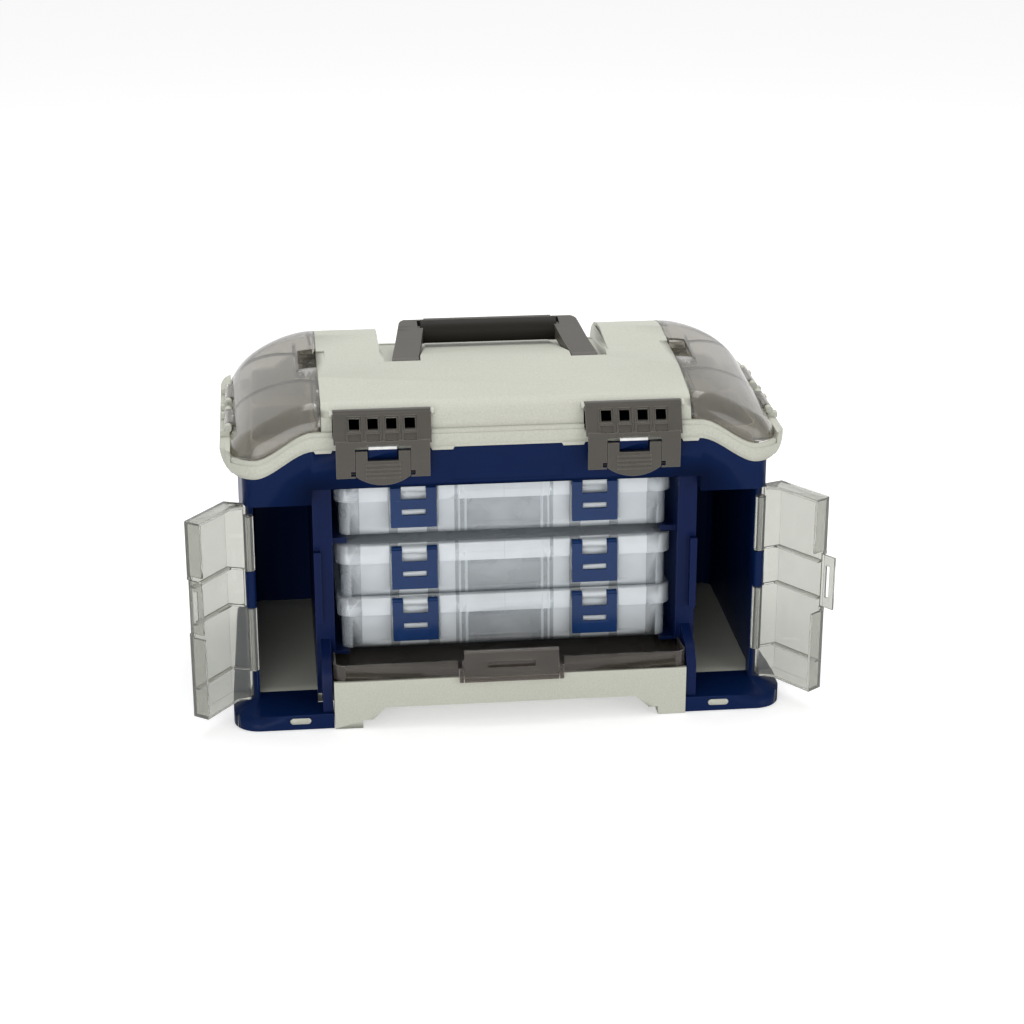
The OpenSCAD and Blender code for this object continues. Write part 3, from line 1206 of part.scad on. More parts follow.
body_shell();
base_pan();
rack_left();
rack_right();
rack_screws();
base_screws();
latch_keepers();
side_door_pins();
lid_hinge_pins();
for (i = [0:2]) {
    drop = box_drop[i];
    name = str("box_", i + 1);
    tub(drop);
    box_lid(drop);
    box_dividers(drop);
    box_hinge_rod(drop);
    box_latch(drop, -box_latch_x);
    box_latch(drop, box_latch_x);
}
front_door();
front_door_tab();
front_door_tab_pin();
side_door_left();
side_door_right();
side_door_tab_left();
side_door_tab_right();
lid_shell();
lid_bin_left();
lid_bin_right();
top_cover_left();
top_cover_right();
top_cover_pins();
handle_bail();
handle_grip();
handle_pins();
latch_left();
latch_right();
latch_pins();
latch_lever_left();
latch_lever_right();
lever_pins_left();
lever_pins_right();
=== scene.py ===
"""Looks of a fishing tackle cabinet, dressed over its packed construction model."""

import json
import logging
import math
from dataclasses import dataclass, field
from enum import Enum
from typing import Any, Protocol

import bpy
from mathutils import Matrix, Vector

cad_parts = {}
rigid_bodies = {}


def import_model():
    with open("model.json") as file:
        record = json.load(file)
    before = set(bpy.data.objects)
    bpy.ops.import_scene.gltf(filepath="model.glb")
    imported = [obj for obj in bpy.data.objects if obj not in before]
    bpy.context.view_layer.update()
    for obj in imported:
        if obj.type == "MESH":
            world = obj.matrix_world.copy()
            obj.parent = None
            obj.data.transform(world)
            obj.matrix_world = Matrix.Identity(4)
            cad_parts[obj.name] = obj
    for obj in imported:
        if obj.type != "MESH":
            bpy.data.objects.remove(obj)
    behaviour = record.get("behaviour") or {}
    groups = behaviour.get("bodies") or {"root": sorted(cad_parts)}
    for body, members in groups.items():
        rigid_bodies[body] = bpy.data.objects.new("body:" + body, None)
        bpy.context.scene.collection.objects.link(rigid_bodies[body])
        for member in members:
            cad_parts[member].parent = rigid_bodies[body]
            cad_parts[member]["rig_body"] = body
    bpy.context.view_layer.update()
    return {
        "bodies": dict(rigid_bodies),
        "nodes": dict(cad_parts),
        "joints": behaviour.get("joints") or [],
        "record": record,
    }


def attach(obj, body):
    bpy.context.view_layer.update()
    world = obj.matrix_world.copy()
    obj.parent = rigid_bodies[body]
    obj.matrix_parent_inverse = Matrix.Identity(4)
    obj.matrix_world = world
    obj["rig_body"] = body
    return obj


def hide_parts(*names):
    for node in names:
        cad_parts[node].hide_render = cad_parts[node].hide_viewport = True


LOG = logging.getLogger("tackle_cabinet")
MM = 0.001
Colour = tuple[float, float, float, float]
Point = tuple[float, float, float]
Links = dict[Any, Any]
Span = tuple[float, float]
WHITE: Colour = (1.0, 1.0, 1.0, 1.0)

# Most of a noise texture lies between these values, so a slow change runs from one to the other.
MID_NOISE: Span = (0.3, 0.7)
# Cosine between the rounded and the true normal, at an edge and where a flat face begins.
EDGE_COSINES: Span = (0.86, 0.985)
EDGE_SAMPLES = 6
# Width given to the big mouldings and the side doors, which only their finish rounds: a rounding of
# their mesh folds over itself, or leaves dark wedges in the doors' panes.
SHADED_ONLY = 0.0
# Rounding in mm at the ends of most pins.
PIN_EDGE = 0.2


class Side(Enum):
    """The two mirrored halves of the cabinet."""

    LEFT = -1
    RIGHT = 1

    @property
    def word(self) -> str:
        """The half's name as the construction model spells it."""
        return self.name.lower()


class Grain(Enum):
    """How a mould was textured: (grit size in mm, bump height in mm).

    The real grit is 0.2 to 0.4 mm, too fine for the picture, so each is drawn as coarse as it needs
    to show.
    """

    POLISHED = (5.0, 0.02)
    SATIN = (0.9, 0.03)
    FINE = (0.8, 0.06)
    LEATHERY = (1.3, 0.10)


def linear(hex_code: str) -> Colour:
    """Turns an sRGB hex colour into the linear values that shaders take.

    Args:
        hex_code: Six hex digits.

    Returns:
        The linear red, green and blue, and an alpha of 1.
    """
    parts = [int(hex_code[i : i + 2], 16) / 255 for i in (0, 2, 4)]
    return tuple(c / 12.92 if c <= 0.04045 else ((c + 0.055) / 1.055) ** 2.4 for c in parts) + (1.0,)


def add_node(
    tree: bpy.types.NodeTree, kind: str, settings: Links | None = None, links: Links | None = None
) -> bpy.types.Node:
    """Adds one shader node with its settings and what feeds it.

    Args:
        tree: The node tree to add to.
        kind: The node's type name, without the ShaderNode prefix.
        settings: Attribute values, and socket values under the sockets' names or indices.
        links: Output sockets under the names or indices of the inputs that they feed.

    Returns:
        The new node.
    """
    node = tree.nodes.new("ShaderNode" + kind)
    for name, value in (settings or {}).items():
        if isinstance(name, str) and hasattr(node, name):
            setattr(node, name, value)
        else:
            node.inputs[name].default_value = value
    for name, socket in (links or {}).items():
        tree.links.new(socket, node.inputs[name])
    return node


def new_material(name: str) -> tuple[bpy.types.Material, bpy.types.NodeTree]:
    """Makes a material with an empty node tree.

    Args:
        name: What the finish is.

    Returns:
        The material and its tree.
    """
    material = bpy.data.materials.new(name)
    material.use_nodes = True
    material.node_tree.nodes.clear()
    return material, material.node_tree


def ramped(
    tree: bpy.types.NodeTree, source: Any, low: float, high: float, start: Span = (0.0, 1.0)
) -> Any:
    """Spreads a value over a new range.

    Args:
        tree: The node tree to add to.
        source: The output socket that gives the value.
        low: What the start of the old range becomes.
        high: What its end becomes.
        start: The old range.

    Returns:
        The output socket of the new value.
    """
    sizes = {"From Min": start[0], "From Max": start[1], "To Min": low, "To Max": high}
    return add_node(tree, "MapRange", sizes, {0: source}).outputs["Result"]


def maths(tree: bpy.types.NodeTree, operation: str, *values: Any, clamp: bool = False) -> Any:
    """Adds one sum of numbers and sockets.

    Args:
        tree: The node tree to add to.
        operation: The sum's name.
        values: What goes in, in order, each an output socket or a plain number.
        clamp: Whether the result is kept between 0 and 1.

    Returns:
        The output socket of the result.
    """
    settings: Links = {"operation": operation, "use_clamp": clamp}
    links: Links = {}
    for index, value in enumerate(values):
        (settings if isinstance(value, float) else links)[index] = value
    return add_node(tree, "Math", settings, links).outputs[0]


def largest(tree: bpy.types.NodeTree, values: list[Any]) -> Any:
    """Adds nodes that pick the largest of several values.

    Args:
        tree: The node tree to add to.
        values: Their output sockets, at least one.

    Returns:
        The output socket of the largest.
    """
    best = values[0]
    for value in values[1:]:
        best = maths(tree, "MAXIMUM", best, value)
    return best


def noise(
    tree: bpy.types.NodeTree, place: Any, cell_mm: float, detail: float, roughness: float = 0.5
) -> Any:
    """Adds a noise texture.

    Args:
        tree: The node tree to add to.
        place: The output socket of the object coordinates.
        cell_mm: The size of its cells.
        detail: How many finer layers it has.
        roughness: How strong the finer layers are.

    Returns:
        The output socket of its value.
    """
    sizes = {"Scale": 1 / (cell_mm * MM), "Detail": detail, "Roughness": roughness}
    return add_node(tree, "TexNoise", sizes, {"Vector": place}).outputs["Fac"]


def layered(tree: bpy.types.NodeTree, share: Any, under: Any, over: Any) -> Any:
    """Lays one shader over another.

    Args:
        tree: The node tree to add to.
        share: The output socket of how much of the upper one shows.
        under: The output socket of the lower shader.
        over: The output socket of the upper shader.

    Returns:
        The output socket of both.
    """
    return add_node(tree, "MixShader", {}, {0: share, 1: under, 2: over}).outputs[0]


def corners(tree: bpy.types.NodeTree, width_mm: float) -> tuple[Any, Any]:
    """Adds nodes that round the sharp edges in the shading and tell where they are.

    Args:
        tree: The node tree to add to.
        width_mm: Width of the rounding.

    Returns:
        The rounded normal, and a socket that is 1 at an edge and 0 on flat faces.
    """
    rounded = add_node(tree, "Bevel", {"samples": EDGE_SAMPLES, "Radius": width_mm * MM}).outputs[0]
    flat = add_node(tree, "NewGeometry").outputs["Normal"]
    same = add_node(tree, "VectorMath", {"operation": "DOT_PRODUCT"}, {0: rounded, 1: flat})
    return rounded, ramped(tree, same.outputs["Value"], 1.0, 0.0, EDGE_COSINES)


class Finish(Protocol):
    """Anything that can make one material."""

    name: str

    def build(self) -> bpy.types.Material:
        """Makes the material."""
        ...


@dataclass(frozen=True)
class MouldedPlastic:
    """Opaque injection-moulded plastic: a soft sheen broken up by the mould's grain.

    The colour drifts slowly over a moulding, is speckled by its grain, and is paler in long faint
    scuffs. Where a corner highlight colour is given, its corners are paler too: a painted highlight.
    """

    name: str
    shade: str
    worn: str
    roughness: float = 0.45
    grain: Grain = Grain.FINE
    gloss: float = 0.5
    scuffs: float = 0.25
    # paler colour mixed in along the corners, a painted highlight
    corner_shade: str = ""
    corner_mm: float = 0.7
    drift: float = 0.3
    drift_mm: float = 60.0
    speckle: Span = (0.93, 1.07)
    rough_spread: Span = (-0.05, 0.06)
    bump: float = 0.3
    # noise cells per metre along, across and through a scuff, its slant, and the peaks that scuff
    scuff_cells: Point = (18.0, 90.0, 420.0)
    scuff_slant: Point = (0.2, 0.35, 0.5)
    scuff_peaks: Span = (0.64, 0.78)

    def scuffing(self, tree: bpy.types.NodeTree, place: Any) -> Any:
        """Adds nodes for long thin scuffs.

        Args:
            tree: The node tree to add to.
            place: The output socket of the object coordinates.

        Returns:
            The output socket of how worn a point is.
        """
        slant = {"Scale": self.scuff_cells, "Rotation": self.scuff_slant}
        along = add_node(tree, "Mapping", slant, {0: place}).outputs[0]
        scuff = add_node(tree, "TexNoise", {"Scale": 1.0, "Detail": 2.0}, {"Vector": along})
        return ramped(tree, scuff.outputs["Fac"], 0.0, self.scuffs, self.scuff_peaks)

    def build(self) -> bpy.types.Material:
        """Makes the material: drifting colour, scuffs, a painted highlight on the corners, a grain bump
        and uneven gloss.

        Returns:
            The material.
        """
        material, tree = new_material(self.name)
        place = add_node(tree, "TexCoord").outputs["Object"]
        grit, height = self.grain.value
        drift = noise(tree, place, self.drift_mm, 3.0)
        grain = noise(tree, place, grit, 2.0, 0.6)
        worn = self.scuffing(tree, place)
        blend = maths(tree, "ADD", ramped(tree, drift, 0.0, self.drift, MID_NOISE), worn, clamp=True)
        shades = {"data_type": "RGBA", 6: linear(self.shade), 7: linear(self.worn)}
        colour = add_node(tree, "Mix", shades, {0: blend}).outputs[2]
        rounded, corner = corners(tree, self.corner_mm)
        # painted highlight: the corners are mixed towards a paler colour, standing in for the light they
        # catch
        if self.corner_shade:
            shades = {"data_type": "RGBA", 7: linear(self.corner_shade)}
            colour = add_node(tree, "Mix", shades, {0: corner, 6: colour}).outputs[2]
        value = ramped(tree, grain, *self.speckle, MID_NOISE)
        speckled = add_node(tree, "HueSaturation", {}, {"Color": colour, "Value": value}).outputs[0]
        sizes = {"Strength": self.bump, "Distance": height * MM}
        bump = add_node(tree, "Bump", sizes, {"Height": grain, "Normal": rounded}).outputs["Normal"]
        low, high = (self.roughness + change for change in self.rough_spread)
        rough = maths(tree, "ADD", ramped(tree, drift, low, high), worn)
        shader = add_node(
            tree,
            "BsdfPrincipled",
            {"IOR": 1.5, "Specular IOR Level": self.gloss},
            {"Base Color": speckled, "Roughness": rough, "Normal": bump},
        )
        add_node(tree, "OutputMaterial", {}, {"Surface": shader.outputs[0]})
        return material


@dataclass(frozen=True)
class Flute:
    """A straight moulded groove across a clear part, between two points of its plan in mm."""

    start: Span
    end: Span
    half_width: float = 1.7
    floor_share: float = 0.5

    def depth(self, tree: bpy.types.NodeTree, across: Any) -> Any:
        """Adds nodes that say how deep in the groove a point is.

        Args:
            tree: The node tree to add to.
            across: The output socket of the object coordinates, with X made positive.

        Returns:
            A socket that is 1 on the groove's floor and 0 beside it.
        """
        way = Vector((self.end[0] - self.start[0], self.end[1] - self.start[1])).normalized()
        normal = (-way.y, way.x, 0.0)
        offset = (normal[0] * self.start[0] + normal[1] * self.start[1]) * MM
        dot = add_node(tree, "VectorMath", {"operation": "DOT_PRODUCT", 1: normal}, {0: across})
        gap = maths(tree, "ABSOLUTE", maths(tree, "SUBTRACT", dot.outputs["Value"], offset))
        wall = (self.half_width * self.floor_share * MM, self.half_width * MM)
        return ramped(tree, gap, 1.0, 0.0, wall)


@dataclass(frozen=True)
class ClearPlastic:
    """Transparent moulded plastic that tints and slightly clouds what is behind it.

    The edge shade colours faces that turn away. The outline colour paints its edges, a painted highlight
    where it is pale and painted shade where it is dark, and the groove colour paints its grooves as
    painted shade. The shadow shade is the light that passes to the inside.
    """

    name: str
    tint: str
    roughness: float
    cloud: float
    cloud_shade: str
    edge: float
    edge_shade: str
    shadow: str
    outline: float
    # outline colour: a painted highlight where pale, painted shade where dark
    outline_shade: str = "6A665F"
    outline_mm: float = 0.5
    flutes: tuple[Flute, ...] = ()
    flute: float = 0.75
    # groove colour, painted shade in the grooves
    flute_shade: str = "45413B"
    flute_dip: float = -2.5
    cloud_mm: float = 35.0
    cloud_spread: Span = (0.8, 1.2)
    rough_spread: Span = (0.7, 1.4)
    ripple_mm: float = 18.0
    ripple_height_mm: float = 0.25
    ripple: float = 0.2
    # a lower index of refraction leaves specks of noise in the render
    refraction: float = 1.45
    turn_blend: float = 0.25
    turn: Span = (0.45, 1.0)

    def clouding(self, tree: bpy.types.NodeTree, place: Any) -> Any:
        """Adds nodes for the milky share, which varies slowly over the part.

        Args:
            tree: The node tree to add to.
            place: The output socket of the object coordinates.

        Returns:
            The output socket of the share.
        """
        low, high = (self.cloud * change for change in self.cloud_spread)
        return ramped(tree, noise(tree, place, self.cloud_mm, 2.0), low, high, MID_NOISE)

    def grooves(self, tree: bpy.types.NodeTree, place: Any) -> list[Any]:
        """Adds nodes for the flutes, which both mirrored halves have.

        Args:
            tree: The node tree to add to.
            place: The output socket of the object coordinates.

        Returns:
            A socket for each flute that is 1 in it and 0 beside it.
        """
        if not self.flutes:
            return []
        mirrored = add_node(tree, "VectorMath", {"operation": "ABSOLUTE"}, {0: place}).outputs[0]
        beside = add_node(tree, "SeparateXYZ", {}, {0: mirrored}).outputs[0]
        level = add_node(tree, "SeparateXYZ", {}, {0: place}).outputs[1]
        across = add_node(tree, "CombineXYZ", {}, {0: beside, 1: level}).outputs[0]
        return [flute.depth(tree, across) for flute in self.flutes]

    def build(self) -> bpy.types.Material:
        """Makes the material: refracting body, milky share, dark turned faces, and painted outlines and
        grooves of highlight and shade.

        Returns:
            The material, which lets a tinted part of the light through to the inside.
        """
        material, tree = new_material(self.name)
        place = add_node(tree, "TexCoord").outputs["Object"]
        ripple = noise(tree, place, self.ripple_mm, 1.0)
        share = self.clouding(tree, place)
        grooves = self.grooves(tree, place)
        height = ripple
        for groove in grooves:
            height = maths(tree, "MULTIPLY_ADD", groove, self.flute_dip, height)
        sizes = {"Strength": self.ripple, "Distance": self.ripple_height_mm * MM}
        bump = add_node(tree, "Bump", sizes, {"Height": height}).outputs["Normal"]
        low, high = (self.roughness * change for change in self.rough_spread)
        glass = add_node(
            tree,
            "BsdfPrincipled",
            {"Base Color": linear(self.tint), "IOR": self.refraction, "Transmission Weight": 1.0},
            {"Roughness": ramped(tree, ripple, low, high), "Normal": bump},
        )
        milk = add_node(
            tree,
            "BsdfPrincipled",
            {"Base Color": linear(self.cloud_shade), "Roughness": 0.3},
            {"Normal": bump},
        )
        body = layered(tree, share, glass.outputs[0], milk.outputs[0])
        facing = add_node(tree, "LayerWeight", {"Blend": self.turn_blend}).outputs["Facing"]
        rim = add_node(
            tree, "BsdfPrincipled", {"Base Color": linear(self.edge_shade), "Roughness": 0.2}
        )
        turned = ramped(tree, facing, 0.0, self.edge, self.turn)
        body = layered(tree, turned, body, rim.outputs[0])
        # painted light: pale outlines are a painted highlight along the edges, dark ones painted shade;
        # grooves get painted shade
        lines = [(corners(tree, self.outline_mm)[1], self.outline, self.outline_shade)]
        if grooves:
            lines.append((largest(tree, grooves), self.flute, self.flute_shade))
        for line, strength, shade in lines:
            paint = add_node(tree, "BsdfPrincipled", {"Base Color": linear(shade), "Roughness": 0.3})
            body = layered(tree, maths(tree, "MULTIPLY", line, strength), body, paint.outputs[0])
        through = add_node(tree, "BsdfTransparent", {"Color": linear(self.shadow)}).outputs[0]
        shadow_ray = add_node(tree, "LightPath").outputs["Is Shadow Ray"]
        surface = layered(tree, shadow_ray, body, through)
        add_node(tree, "OutputMaterial", {}, {"Surface": surface})
        return material


@dataclass(frozen=True)
class FrostedClear(ClearPlastic):
    """Clear polypropylene with frosted panels and ribs on its front.

    The bands are distances in mm to each side of the front's middle.
    """

    bands: tuple[Span, ...] = ((30.6, 32.8), (36.2, 38.0), (41.0, 54.6), (64.0, 88.0), (95.4, 119.4))
    frost: float = 0.33
    blur_mm: float = 0.3
    front_mm: float = -69.6
    stack_mm: float = 48.6
    tilt: float = 4.0

    def clouding(self, tree: bpy.types.NodeTree, place: Any) -> Any:
        """Adds nodes for the milky share: strong on the front's frosted bands, weak elsewhere.

        Args:
            tree: The node tree to add to.
            place: The output socket of the object coordinates.

        Returns:
            The output socket of the share.
        """
        plain = super().clouding(tree, place)
        blur = self.blur_mm * MM
        sideways = add_node(tree, "SeparateXYZ", {}, {0: place}).outputs["X"]
        distance = maths(tree, "ABSOLUTE", sideways)
        bands = []
        for low, high in self.bands:
            middle, half = (low + high) / 2 * MM, (high - low) / 2 * MM
            gap = maths(tree, "ABSOLUTE", maths(tree, "SUBTRACT", distance, middle))
            bands.append(ramped(tree, gap, 1.0, 0.0, (half - blur, half + blur)))
        # the box's own front-to-back direction, turned back from the rack's tilt
        turn = math.radians(self.tilt)
        along = (0.0, math.cos(turn), -math.sin(turn))
        start = self.front_mm * MM * along[1] + self.stack_mm * MM * along[2]
        dot = add_node(tree, "VectorMath", {"operation": "DOT_PRODUCT", 1: along}, {0: place})
        front = ramped(tree, dot.outputs["Value"], 1.0, 0.0, (start, start + 2 * blur))
        both = maths(tree, "MULTIPLY", largest(tree, bands), front)
        return maths(tree, "MULTIPLY_ADD", both, self.frost, plain, clamp=True)


@dataclass(frozen=True)
class DrawnSteel:
    """Drawn wire: fine streaks in the gloss along the pin."""

    name: str = "Drawn steel wire"
    shade: str = "B9BBBD"
    roughness: float = 0.3
    rough_spread: Span = (-0.1, 0.15)
    streak_mm: float = 1.2

    def build(self) -> bpy.types.Material:
        """Makes the material: bare metal with an uneven gloss.

        Returns:
            The material.
        """
        material, tree = new_material(self.name)
        place = add_node(tree, "TexCoord").outputs["Object"]
        low, high = (self.roughness + change for change in self.rough_spread)
        rough = ramped(tree, noise(tree, place, self.streak_mm, 2.0), low, high)
        metal = {"Base Color": linear(self.shade), "Metallic": 1.0}
        shader = add_node(tree, "BsdfPrincipled", metal, {"Roughness": rough})
        add_node(tree, "OutputMaterial", {}, {"Surface": shader.outputs[0]})
        return material


# Polypropylene from a leathery mould, stone coloured: dull and faintly mottled, for the lid and the base.
STONE = MouldedPlastic(
    "Grained stone polypropylene",
    "BEBFB3",
    "B5B6AA",
    0.5,
    Grain.LEATHERY,
    gloss=0.3,
    scuffs=0.15,
)
# Navy polypropylene of the body: a finer grain, hardly any gloss, and corners paler in a painted
# highlight.
NAVY = MouldedPlastic(
    "Grained navy polypropylene",
    "081B42",
    "0D2450",
    0.34,
    Grain.FINE,
    gloss=0.08,
    scuffs=0.1,
    corner_shade="24365F",
)
# Smoother navy of the rack, which takes the light a little more evenly; its corners are paler in a
# painted highlight.
NAVY_SATIN = MouldedPlastic(
    "Satin navy polypropylene",
    "09183F",
    "0F204D",
    0.3,
    Grain.SATIN,
    gloss=0.1,
    scuffs=0.1,
    corner_shade="2A3B62",
)
# Warm grey acetal of the latches and the bail: dense, satin, with corners paler in a painted highlight.
WARM_GREY = MouldedPlastic(
    "Satin warm grey acetal",
    "484540",
    "55514B",
    0.38,
    Grain.SATIN,
    gloss=0.3,
    scuffs=0.3,
    corner_shade="868177",
)
# Bright blue snap latches of the utility boxes: polished, with corners paler in a painted highlight.
LATCH_BLUE = MouldedPlastic(
    "Glossy blue polypropylene",
    "0C2C5A",
    "143A70",
    0.2,
    Grain.POLISHED,
    gloss=0.3,
    scuffs=0.1,
    corner_shade="4F7AB8",
)
# Overmoulded rubber of the grip: nearly black, dull, with a faint skin-like grain.
GRIP_RUBBER = MouldedPlastic("Matt black rubber", "1C1A16", "27241F", 0.55, Grain.LEATHERY, gloss=0.15)
# Grey-beige bins under the covers.
BIN_GREY = MouldedPlastic("Satin grey-beige polypropylene", "A9A69B", "B5B2A8", 0.45, Grain.SATIN)
# Near-white strips on top of the catch blocks: a painted highlight along the catches' top edges.
HIGHLIGHT_STRIP = MouldedPlastic("Glossy white acetal", "E9EAE8", "F2F2F0", 0.2, Grain.POLISHED, scuffs=0.0)
# Smoke-tinted side doors: clear in the panes, brownish-grey where the light crosses an edge.
SMOKE = ClearPlastic(
    "Grey smoke polycarbonate",
    "C9CAC3",
    roughness=0.05,
    cloud=0.10,
    cloud_shade="C0C1BB",
    edge=0.35,
    edge_shade="827E77",
    shadow="C8C6C1",
    outline=0.85,
)
# Covers of the lid's end bins, with two grooves across each, drawn as dark lines of painted shade.
SMOKE_COVER = ClearPlastic(
    "Brown smoke polycarbonate cover",
    "C3C0B9",
    roughness=0.06,
    cloud=0.12,
    cloud_shade="AFACA4",
    edge=0.35,
    edge_shade="77736C",
    shadow="C0BDB6",
    outline=0.7,
    flutes=(Flute((163.0, 22.0), (218.0, 71.0)), Flute((150.0, -43.0), (217.0, -11.0))),
)
# Front door: much darker, with pale edges that are a painted highlight.
SMOKE_FRONT = ClearPlastic(
    "Brown smoke polycarbonate",
    "8A7F74",
    roughness=0.05,
    cloud=0.16,
    cloud_shade="7D756C",
    edge=0.4,
    edge_shade="A39B90",
    shadow="8A8278",
    outline=0.8,
    outline_shade="C3BEB6",
)
# Tubs of the utility boxes: water-clear with a blue-grey cast, frosted on ribs and panels of the front.
CLEAR = FrostedClear(
    "Frosted clear polypropylene",
    "F3F6F8",
    roughness=0.1,
    cloud=0.3,
    cloud_shade="DDE3E7",
    edge=0.3,
    edge_shade="C9D2D8",
    shadow="E8ECEE",
    outline=0.55,
    outline_shade="EDF2F4",
)
# Their lids, frosted a little more and over the whole middle.
CLEAR_LID = FrostedClear(
    "Frosted clear polypropylene lid",
    "F5F7F8",
    roughness=0.07,
    cloud=0.28,
    cloud_shade="E3E8EB",
    edge=0.3,
    edge_shade="CBD4DA",
    shadow="EEF0F2",
    outline=0.55,
    outline_shade="F2F5F6",
    frost=0.38,
    bands=((0.0, 38.0), (41.0, 54.6), (64.0, 88.0), (95.4, 119.4)),
)
# Thin loose dividers and the boxes' hinge rods.
CLEAR_WALL = ClearPlastic(
    "Clear polypropylene divider",
    "EEF2F4",
    roughness=0.12,
    cloud=0.15,
    cloud_shade="E3EAEC",
    edge=0.3,
    edge_shade="C4CDD2",
    shadow="EEF0F2",
    outline=0.3,
    outline_shade="E3EAEC",
)
# Bright wire of the pins and screws.
STEEL = DrawnSteel()
# Pins of the thumb levers, painted dark as the shade in the holes they sit in, so they read as dark
# holes.
PAINTED_SHADE_PIN = DrawnSteel("Blackened steel wire", "2B2A28", 0.45)


@dataclass
class Workshop:
    """What every sub-assembly is made with: the frame, its finishes and the bench tools."""

    frame: dict[str, Any]
    made: dict[str, bpy.types.Material] = field(default_factory=dict)
    # shares of the asked rounding that are tried in turn, down to none
    tries: tuple[float, ...] = (1.0, 0.5, 0.25, 0.0)
    segments: int = 2
    merge_mm: float = 0.02
    flat_degrees: float = 0.5
    sharp_degrees: float = 40.0
    # a triangle is folded when the cosine between its normal and its face's is less than this
    fold_cosine: float = 0.7
    fold_limit_mm2: float = 2.0

    def material(self, finish: Finish) -> bpy.types.Material:
        """Gives a finish's material, made once.

        Args:
            finish: The finish.

        Returns:
            Its material.
        """
        if finish.name not in self.made:
            self.made[finish.name] = finish.build()
        return self.made[finish.name]

    def take(self, piece: bpy.types.Object) -> None:
        """Selects one piece alone and makes it active.

        Args:
            piece: The piece.
        """
        bpy.ops.object.select_all(action="DESELECT")
        piece.select_set(True)
        bpy.context.view_layer.objects.active = piece

    def body_of(self, node: str) -> str:
        """Names the body that a construction node moves with."""
        return self.frame["nodes"][node]["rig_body"]

    def finished(self, piece: bpy.types.Object, finish: Finish, body: str) -> None:
        """Gives a new piece its material and the body that it rides on.

        Args:
            piece: The piece, at the origin.
            finish: Its finish.
            body: The body's name.
        """
        piece.data.materials.clear()
        piece.data.materials.append(self.material(finish))
        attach(piece, body)
        LOG.info("%s: %d faces, %s", piece.name, len(piece.data.polygons), finish.name)

    def folded(self, mesh: bpy.types.Mesh) -> float:
        """Measures how much of a mesh is folded over itself.

        Args:
            mesh: The mesh.

        Returns:
            The area in square millimetres of triangles that face away from their own face.
        """
        mesh.calc_loop_triangles()
        area = 0.0
        for piece in mesh.loop_triangles:
            if piece.normal.dot(mesh.polygons[piece.polygon_index].normal) < self.fold_cosine:
                area += piece.area
        return area / MM**2

    def soften(
        self, node: str, finish: Finish, width: float, clamp: bool = False, smooth: float = 38.0
    ) -> None:
        """Stands for a construction node with the same solid, its sharp edges rounded as by a mould.

        The rounding gets narrower until it no longer folds the mesh over itself.

        Args:
            node: The construction node.
            finish: The finish of the piece.
            width: Width of the rounding in mm, or SHADED_ONLY.
            clamp: Whether the rounding shrinks where it would meet another.
            smooth: Angle in degrees under which faces shade as one surface.
        """
        source = self.frame["nodes"][node].data
        piece = bpy.data.objects.new(node + "_moulding", source.copy())
        bpy.context.collection.objects.link(piece)
        self.take(piece)
        for share in self.tries if width else (0.0,):
            piece.data = source.copy()
            bpy.ops.object.mode_set(mode="EDIT")
            bpy.ops.mesh.select_all(action="SELECT")
            bpy.ops.mesh.remove_doubles(threshold=self.merge_mm * MM)
            if share:
                bpy.ops.mesh.dissolve_limited(angle_limit=math.radians(self.flat_degrees))
            bpy.ops.object.mode_set(mode="OBJECT")
            if not share:
                break
            rounding = piece.modifiers.new("Rounding", "BEVEL")
            rounding.width = width * share * MM
            rounding.segments = self.segments
            rounding.limit_method = "ANGLE"
            rounding.angle_limit = math.radians(self.sharp_degrees)
            rounding.use_clamp_overlap = clamp
            bpy.ops.object.modifier_apply(modifier=rounding.name)
            if self.folded(piece.data) < self.fold_limit_mm2:
                break
        bpy.ops.object.shade_smooth_by_angle(angle=math.radians(smooth))
        even = piece.modifiers.new("Even shading", "WEIGHTED_NORMAL")
        even.mode = "FACE_AREA"
        even.keep_sharp = True
        bpy.ops.object.modifier_apply(modifier=even.name)
        LOG.info("%s: rounded by %.2f mm", node, width * share)
        self.finished(piece, finish, self.body_of(node))
        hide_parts(node)

    def block(self, name: str, low: Point, high: Point) -> bpy.types.Object:
        """Starts a piece as a block, with its place in its mesh.

        Args:
            name: The piece's name.
            low: Its lowest corner in mm.
            high: Its highest corner in mm.

        Returns:
            The piece.
        """
        centre = [(a + b) / 2 * MM for a, b in zip(low, high)]
        size = [(b - a) * MM for a, b in zip(low, high)]
        bpy.ops.object.select_all(action="DESELECT")
        bpy.ops.mesh.primitive_cube_add(size=1, location=centre, scale=size)
        piece = bpy.context.object
        piece.name = name
        bpy.ops.object.transform_apply(location=True, rotation=True, scale=True)
        return piece

    def draw_top(self, piece: bpy.types.Object, above: float, by: Point, taper: Point) -> None:
        """Moves and scales the upper end of a piece, as when it is drawn over.

        Args:
            piece: The piece.
            above: The height in mm over which its vertices move.
            by: The move in mm.
            taper: How the moved end is scaled about its middle.
        """
        self.take(piece)
        bpy.ops.object.mode_set(mode="EDIT")
        bpy.ops.mesh.select_mode(type="VERT")
        bpy.ops.mesh.select_all(action="DESELECT")
        bpy.ops.object.mode_set(mode="OBJECT")
        for vertex in piece.data.vertices:
            vertex.select = vertex.co.z > above * MM
        bpy.ops.object.mode_set(mode="EDIT")
        bpy.ops.transform.translate(value=[b * MM for b in by])
        bpy.ops.transform.resize(value=taper)
        bpy.ops.object.mode_set(mode="OBJECT")

